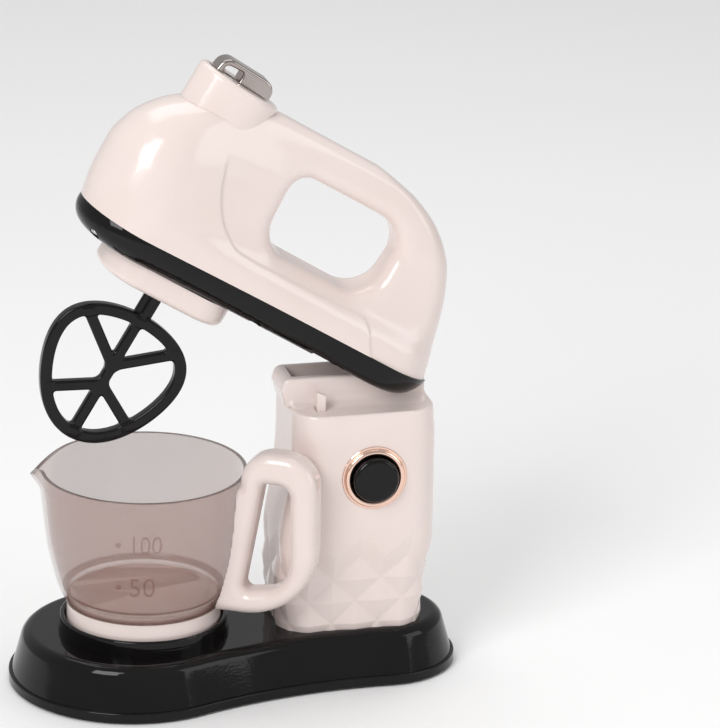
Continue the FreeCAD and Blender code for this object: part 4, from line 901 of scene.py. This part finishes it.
def makeBowl():
    size = bowlSizes
    turns = np.arange(size["columns"]) * 2 * math.pi / size["columns"]
    away = np.abs((turns - size["spout"] + math.pi) % (2 * math.pi) - math.pi)
    lift = np.clip(1 - away / size["spoutHalf"], 0, 1)
    beak = lift ** size["spoutPoint"]
    top = size["rim"] - size["spoutDroop"] * lift ** size["spoutDip"]

    def side(z, inset):
        rise = np.clip((z - size["spoutRoot"]) / (top - size["spoutRoot"]), 0, 1)
        return bowlSide(z) + size["spoutReach"] * beak * rise ** size["spoutCurve"] - inset

    wall, lip = size["wall"], size["lip"]
    rows, rims = [], []

    def addRow(radius, z, rim=0.0):
        radius, z = np.broadcast_to(radius, turns.shape), np.broadcast_to(z, turns.shape)
        rows.append(list(zip(size["x"] + radius * np.cos(turns), radius * np.sin(turns), z)))
        rims.append(rim)

    # the floor rows carry the floor value: a clearer floor, painted lighter for the light that falls on it
    # from above
    addRow(2.0, size["under"], size["floorClearAndLit"])
    addRow(side(size["under"], wall) - 0.8, size["under"], size["floorClearAndLit"])
    addRow(side(size["under"], wall), size["under"] - 0.5)
    addRow(side(size["skirt"], wall), size["skirt"], 0.4)
    for share in np.linspace(0, 1, size["rows"]):
        z = size["skirt"] + (top - lip - size["skirt"]) * share
        addRow(side(z, 0.0), z, 0.4 if share == 0 else 0.0)
    addRow(side(top, 0.1), top - lip * 0.3, 0.8)
    addRow(side(top, 0.35), top, 1.0)
    addRow(side(top, wall - 0.35), top, 1.0)
    addRow(side(top, wall - 0.1), top - lip * 0.3, 0.8)
    low = size["floor"] + size["floorRound"]
    for share in np.linspace(0, 1, size["rows"]):
        z = top - lip + (low - top + lip) * share
        addRow(side(z, wall), z)
    for turn in (0.35, 0.7, 1.0):
        z = low - size["floorRound"] * math.sin(turn * math.pi / 2)
        addRow(side(low, wall) - size["floorRound"] * (1 - math.cos(turn * math.pi / 2)), z, 0.7)
    # the floor rows carry the floor value: a clearer floor, painted lighter for the light that falls on it
    # from above
    addRow(side(low, wall) - size["floorRound"] - 1.5, size["floor"], size["floorClearAndLit"])
    addRow(2.0, size["floor"], size["floorClearAndLit"])
    bowl = ringMesh("bowlBody", rows)
    layer = bowl.data.attributes.new("rim", "FLOAT", "POINT")
    layer.data.foreach_set("value", np.repeat(np.array(rims, np.float32), size["columns"]))
    keepEdges(bowl, 60)
    return settle(bowl, ["bowl_body"])


# each line: its number, the turns of its ends, its low and high edges, the dot's turn and height
markSizes = {"proud": 0.35, "sunk": 0.25, "depth": 0.1, "thin": -0.012, "dot": 1.15, "dotSides": 20,
             "lines": [("100", -107.4, -91.2, 68.2, 75.8, -115.9, 71.8),
                       ("50", -109.6, -94.8, 49.0, 57.2, -117.0, 53.0)]}


def makeMarks():
    size = markSizes
    points, faces = [], []
    for text, left, right, low, high, dotTurn, dotZ in size["lines"]:
        curve = bpy.data.curves.new("mark", "FONT")
        curve.body = text
        curve.extrude = size["depth"]
        curve.offset = size["thin"]
        curve.resolution_u = 6
        holder = inScene("mark", curve)
        flat = madeMesh(holder)
        spots = np.array([vertex.co for vertex in flat.vertices])
        spots = (spots - spots.min(axis=0)) / np.ptp(spots, axis=0)
        turn = np.radians(left + (right - left) * spots[:, 0])
        z = low + (high - low) * spots[:, 1]
        radius = bowlSide(z) - size["sunk"] + (size["sunk"] + size["proud"]) * spots[:, 2]
        start = len(points)
        points += list(zip(bowlSizes["x"] + radius * np.cos(turn), radius * np.sin(turn), z))
        faces += [[start + n for n in face.vertices] for face in flat.polygons]
        bpy.data.objects.remove(holder)
        # the dot beside the number, a low dome
        start = len(points)
        sides = size["dotSides"]
        rings = [(1.0, -size["sunk"]), (1.0, 0.12), (0.75, 0.36), (0.4, 0.48)]
        for reach, out in rings:
            for step in range(sides):
                angle = 2 * math.pi * step / sides
                z = dotZ + size["dot"] * reach * math.sin(angle)
                radius = float(bowlSide(z)) + out
                turn = math.radians(dotTurn) + size["dot"] * reach * math.cos(angle) / radius
                points.append((bowlSizes["x"] + radius * math.cos(turn), radius * math.sin(turn), z))
        for ring in range(len(rings) - 1):
            for step in range(sides):
                a, b = start + ring * sides + step, start + ring * sides + (step + 1) % sides
                faces.append([a, b, b + sides, a + sides])
        last = start + (len(rings) - 1) * sides
        faces += [[start + n for n in reversed(range(sides))], [last + n for n in range(sides)]]
    marks = faceOut(addPiece("bowlMarks", points, faces, smooth=False), 1e-6)
    return settle(marks, [], "bowl", "smoke")


makeBowl()
makeMarks()
print("bowl done")


# release button and the bezel round it

bezelSizes = {**buttonPlace, "columns": 128, "inner": 9.65, "back": -5.0, "lip": 13.2, "lipHeight": 0.55,
              "crown": 2.0, "crownRadius": 11.0, "crownHalf": 1.35}


def turnedPiece(name, profile, ends):
    # radii and heights over the stand's wall, turned about the button's axis
    size = bezelSizes
    turns = np.arange(size["columns"]) * 2 * math.pi / size["columns"]
    rows = [[(size["x"] + radius * math.cos(t), size["wallY"] - out, size["z"] + radius * math.sin(t))
             for t in turns] for radius, out in profile]
    return faceOut(ringMesh(name, rows, ends), 1e-7)


def makeBezel():
    size = bezelSizes
    lip, height = size["lip"], size["lipHeight"]
    profile = [(size["inner"], size["back"]), (size["sleeve"], size["back"]), (size["sleeve"], 0.0),
               (lip - 0.1, 0.0), (lip, 0.12), (lip, 0.38), (lip - 0.18, height),
               (size["crownRadius"] + size["crownHalf"] + 0.15, height)]
    for step in range(17):
        angle = math.pi * step / 16 * 0.93 + 0.1
        profile.append((size["crownRadius"] + size["crownHalf"] * math.cos(angle),
                        height + 0.05 + (size["crown"] - height - 0.05) * math.sin(angle)))
    profile += [(size["inner"], 0.3), profile[0]]
    bezel = turnedPiece("buttonBezel", profile, False)
    keepEdges(bezel, 40)
    return settle(bezel, ["button_bezel"])


buttonSizes = {"radius": 9.3, "shank": 4.5, "shankBack": -7.5, "skirtBack": -4.6, "face": 4.85, "crown": 5.2,
               "edge": 1.7}


def makeButton():
    size = buttonSizes
    edge, flat = size["edge"], size["radius"] - size["edge"]
    profile = [(0.5, size["shankBack"]), (size["shank"], size["shankBack"]),
               (size["shank"], size["skirtBack"]), (size["radius"], size["skirtBack"])]
    for step in range(9):
        angle = math.pi / 2 * step / 8
        profile.append((flat + edge * math.cos(angle), size["face"] - edge * (1 - math.sin(angle))))
    for share in (0.85, 0.65, 0.4, 0.2, 0.06):
        profile.append((flat * share, size["crown"] - (size["crown"] - size["face"]) * share ** 2))
    button = turnedPiece("releaseButton", profile, True)
    keepEdges(button, 40)
    return settle(button, ["release_button"])


makeButton()
makeBezel()
print("button and bezel done")


# screws and feet, set out by geometry nodes

class Plan(Wiring):
    # a geometry tree with named sizes
    def __init__(self, name, sizes):
        self.tree = bpy.data.node_groups.new(name, "GeometryNodeTree")
        face = self.tree.interface
        face.new_socket("Places", in_out="INPUT", socket_type="NodeSocketGeometry")
        for key, value in sizes.items():
            face.new_socket(key, in_out="INPUT", socket_type="NodeSocketFloat").default_value = value
        face.new_socket("Finish", in_out="INPUT", socket_type="NodeSocketMaterial")
        face.new_socket("Geometry", in_out="OUTPUT", socket_type="NodeSocketGeometry")
        self.entry = self.tree.nodes.new("NodeGroupInput")
        self.exit = self.tree.nodes.new("NodeGroupOutput")

    def size(self, name):
        return Value(self, self.entry.outputs[name])

    def spot(self, x=0.0, y=0.0, z=0.0):
        return self.add("ShaderNodeCombineXYZ", {}, {"X": x, "Y": y, "Z": z})

    def drum(self, count, radius, depth, z):
        drum = self.add("GeometryNodeMeshCylinder", {},
                        {"Vertices": count, "Radius": radius, "Depth": depth}, "Mesh")
        return self.add("GeometryNodeTransform", {}, {"Geometry": drum, "Translation": self.spot(z=z)})

    def taper(self, count, radiusTop, radiusLow, depth, z):
        cone = self.add("GeometryNodeMeshCone", {}, {"Vertices": count, "Radius Top": radiusTop,
                                                     "Radius Bottom": radiusLow, "Depth": depth}, "Mesh")
        return self.add("GeometryNodeTransform", {}, {"Geometry": cone, "Translation": self.spot(z=z)})

    def cutOut(self, part, tool):
        return self.add("GeometryNodeMeshBoolean", {"operation": "DIFFERENCE"},
                        {"Mesh 1": part, "Mesh 2": tool}, "Mesh")

    def setOut(self, part, tilt):
        placed = self.add("GeometryNodeInstanceOnPoints", {}, {
            "Points": self.size("Places"), "Instance": part, "Rotation": self.spot(y=tilt)})
        real = self.add("GeometryNodeRealizeInstances", {}, {"Geometry": placed})
        done = self.add("GeometryNodeSetMaterial", {}, {"Geometry": real, "Material": self.size("Finish")})
        self.tree.links.new(done.socket, self.exit.inputs["Geometry"])


screwSizes = {"Head Radius": 0.0024, "Head Height": 0.0016, "Shank Radius": 0.0012, "Shank Length": 0.008,
              "Cross Width": 0.0006, "Cross Depth": 0.0008, "Tilt": 0.0}
footSizes = {"Radius": 0.005, "Height": 0.0016, "Rim Drop": 0.0004, "Dish Radius": 0.0032,
             "Dish Depth": 0.0003}


def screwPlan():
    plan = Plan("panHeadScrew", screwSizes)
    radius, height = plan.size("Head Radius"), plan.size("Head Height")
    rim = plan.drum(48, radius, height * 0.6, height * -0.3)
    crown = plan.taper(48, radius, radius * 0.82, height * 0.4, height * -1.0)
    head = plan.add("GeometryNodeJoinGeometry", {}, {"Geometry": [rim, crown]})
    for lengthways in (True, False):
        long, short, deep = radius * 1.25, plan.size("Cross Width"), plan.size("Cross Depth") * 2
        extent = plan.spot(long, short, deep) if lengthways else plan.spot(short, long, deep)
        bar = plan.add("GeometryNodeMeshCube", {}, {"Size": extent}, "Mesh")
        bar = plan.add("GeometryNodeTransform", {},
                       {"Geometry": bar, "Translation": plan.spot(z=height * -1.0)})
        head = plan.cutOut(head, bar)
    length = plan.size("Shank Length")
    shank = plan.drum(24, plan.size("Shank Radius"), length, length * 0.5)
    whole = plan.add("GeometryNodeJoinGeometry", {}, {"Geometry": [head, shank]})
    plan.setOut(whole, plan.size("Tilt"))
    return plan


def footPlan():
    plan = Plan("rubberFoot", footSizes)
    radius, height, drop = plan.size("Radius"), plan.size("Height"), plan.size("Rim Drop")
    pad = plan.drum(64, radius, height - drop, (height + drop) * 0.5)
    edge = plan.taper(64, radius, radius * 0.92, drop, 0.0)
    foot = plan.add("GeometryNodeJoinGeometry", {}, {"Geometry": [pad, edge]})
    dish = plan.drum(48, plan.size("Dish Radius"), plan.size("Dish Depth") * 2, 0.0)
    plan.setOut(plan.cutOut(foot, dish), 0.0)
    return plan


def grow(name, plan, places, sizes, node):
    mesh = bpy.data.meshes.new(name)
    mesh.from_pydata([tuple(np.array(place) * mm) for place in places], [], [])
    holder = inScene(name, mesh)
    maker = holder.modifiers.new("maker", "NODES")
    maker.node_group = plan.tree
    for item in plan.tree.interface.items_tree:
        if item.in_out == "INPUT" and item.name in sizes:
            maker[item.identifier] = sizes[item.name]
        if item.in_out == "INPUT" and item.name == "Finish":
            maker[item.identifier] = looks[nodeSlot[node]]
    grown = madeMesh(holder)
    holder.modifiers.clear()
    holder.data = grown
    grown.name = name
    keepEdges(holder, 30)
    return settle(holder, [node])


# places in millimetres: (x, y) under the base, (u, y) in the head
fixingPlaces = {
    "base": [(-78.0, 0.0), (-41.5, 34.0), (-41.5, -34.0), (12.0, 0.0)], "standZ": 19.8,
    "stand": [(26.0, -15.6), (26.0, 15.6), (67.0, -15.6), (67.0, 15.6)], "headW": -5.3,
    "head": [(-138.0, 12.3), (-64.0, 16.8), (-24.0, 16.2)],
    "feet": [(-72.0, 22.0), (-72.0, -22.0), (70.0, 17.0), (70.0, -17.0)],
}
screws, feet = screwPlan(), footPlan()
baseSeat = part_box("base_screws")[0][2] / mm + 1.6
grow("baseScrews", screws, [(x, y, baseSeat) for x, y in fixingPlaces["base"]], screwSizes, "base_screws")
grow("standScrews", screws, [(x, y, fixingPlaces["standZ"]) for x, y in fixingPlaces["stand"]],
     {**screwSizes, "Shank Length": 0.0097}, "stand_screws")
grow("headScrews", screws, fromHead([(u, y * side, fixingPlaces["headW"]) for u, y in fixingPlaces["head"]
                                     for side in (-1, 1)]),
     {**screwSizes, "Shank Length": 0.0141, "Tilt": hingePlace["tilt"]}, "head_screws")
grow("rubberFeet", feet, [(x, y, 0.0) for x, y in fixingPlaces["feet"]], footSizes, "rubber_feet")
print("screws and feet done")


# mouldings that keep the frame's own shape

refinedPieces = {
    "baseShell": "base_shell", "basePlate": "base_plate", "batteryDoor": "battery_door",
    "bowlFoot": "bowl_foot", "headPan": "lower_shell", "switchCollar": "switch_collar",
    "onSlider": "power_slider", "gearboxCover": "gearbox_cover", "lampLens": "lamp_lens",
    "latchFinger": "latch_lever",
}
for name, node in refinedPieces.items():
    refined(name, node)

for node, piece in frame["nodes"].items():
    piece.data.materials.clear()
    piece.data.materials.append(looks[nodeSlot[node]])
print("mouldings done")


# floor, light and camera

stageSizes = {
    "floor": 6.0, "pale": (0.95, 0.95, 0.95), "target": (0.05098, 0.0, 0.12758), "distance": 2.0,
    "azimuth": math.radians(-14.0), "elevation": math.radians(19.5), "roll": math.radians(1.0),
    "lens": 250.0, "paleShade": (0.93, 0.93, 0.93), "lampAim": (0.0, 0.0, 0.12), "air": 0.5,
}
# place, size in metres and power of each soft lamp
lamps = {
    "keyBox": ((-0.9, -1.0, 1.1), (0.7, 0.9), 15.0), "fillBox": ((1.3, -0.9, 0.6), (0.9, 0.9), 4.5),
    "topBox": ((0.1, 0.5, 1.5), (1.2, 0.9), 7.0),
}


def makeFloor():
    half = stageSizes["floor"] * 500
    floor = addPiece("floor", [(-half, -half, 0), (half, -half, 0), (half, half, 0), (-half, half, 0)],
                     [[0, 1, 2, 3]], smooth=False)
    look = Look("paleFloor")
    look.finish({"Base Color": look.tint(stageSizes["pale"], stageSizes["paleShade"], look.grain(3.0)),
                 "Roughness": 0.6, "Specular IOR Level": 0.2})
    floor.data.materials.append(look.material)


def makeLamp(name, place, size, power):
    light = bpy.data.lights.new(name, "AREA")
    light.shape = "RECTANGLE"
    light.size, light.size_y = size
    light.energy = power
    lamp = inScene(name, light)
    lamp.location = place
    aim = Vector(stageSizes["lampAim"]) - Vector(place)
    lamp.rotation_euler = aim.to_track_quat("-Z", "Y").to_euler()


def makeCamera():
    size = stageSizes
    a, e = size["azimuth"], size["elevation"]
    back = Vector((math.sin(a) * math.cos(e), -math.cos(a) * math.cos(e), math.sin(e)))
    lens = bpy.data.cameras.new("camera")
    lens.lens = size["lens"]
    lens.sensor_width = 36.0
    lens.sensor_fit = "HORIZONTAL"
    camera = inScene("camera", lens)
    camera.location = Vector(size["target"]) + back * size["distance"]
    turn = back.to_track_quat("Z", "Y").to_matrix()
    camera.rotation_euler = (turn @ Matrix.Rotation(size["roll"], 3, "Z")).to_euler()
    bpy.context.scene.camera = camera


makeFloor()
for name, settings in lamps.items():
    makeLamp(name, *settings)
makeCamera()
world = bpy.data.worlds.new("paleRoom")
world.use_nodes = True
air = world.node_tree.nodes["Background"]
air.inputs["Color"].default_value = (1.0, 1.0, 1.0, 1.0)
air.inputs["Strength"].default_value = stageSizes["air"]
bpy.context.scene.world = world
bpy.context.scene.view_settings.view_transform = "Standard"
print("stage done")
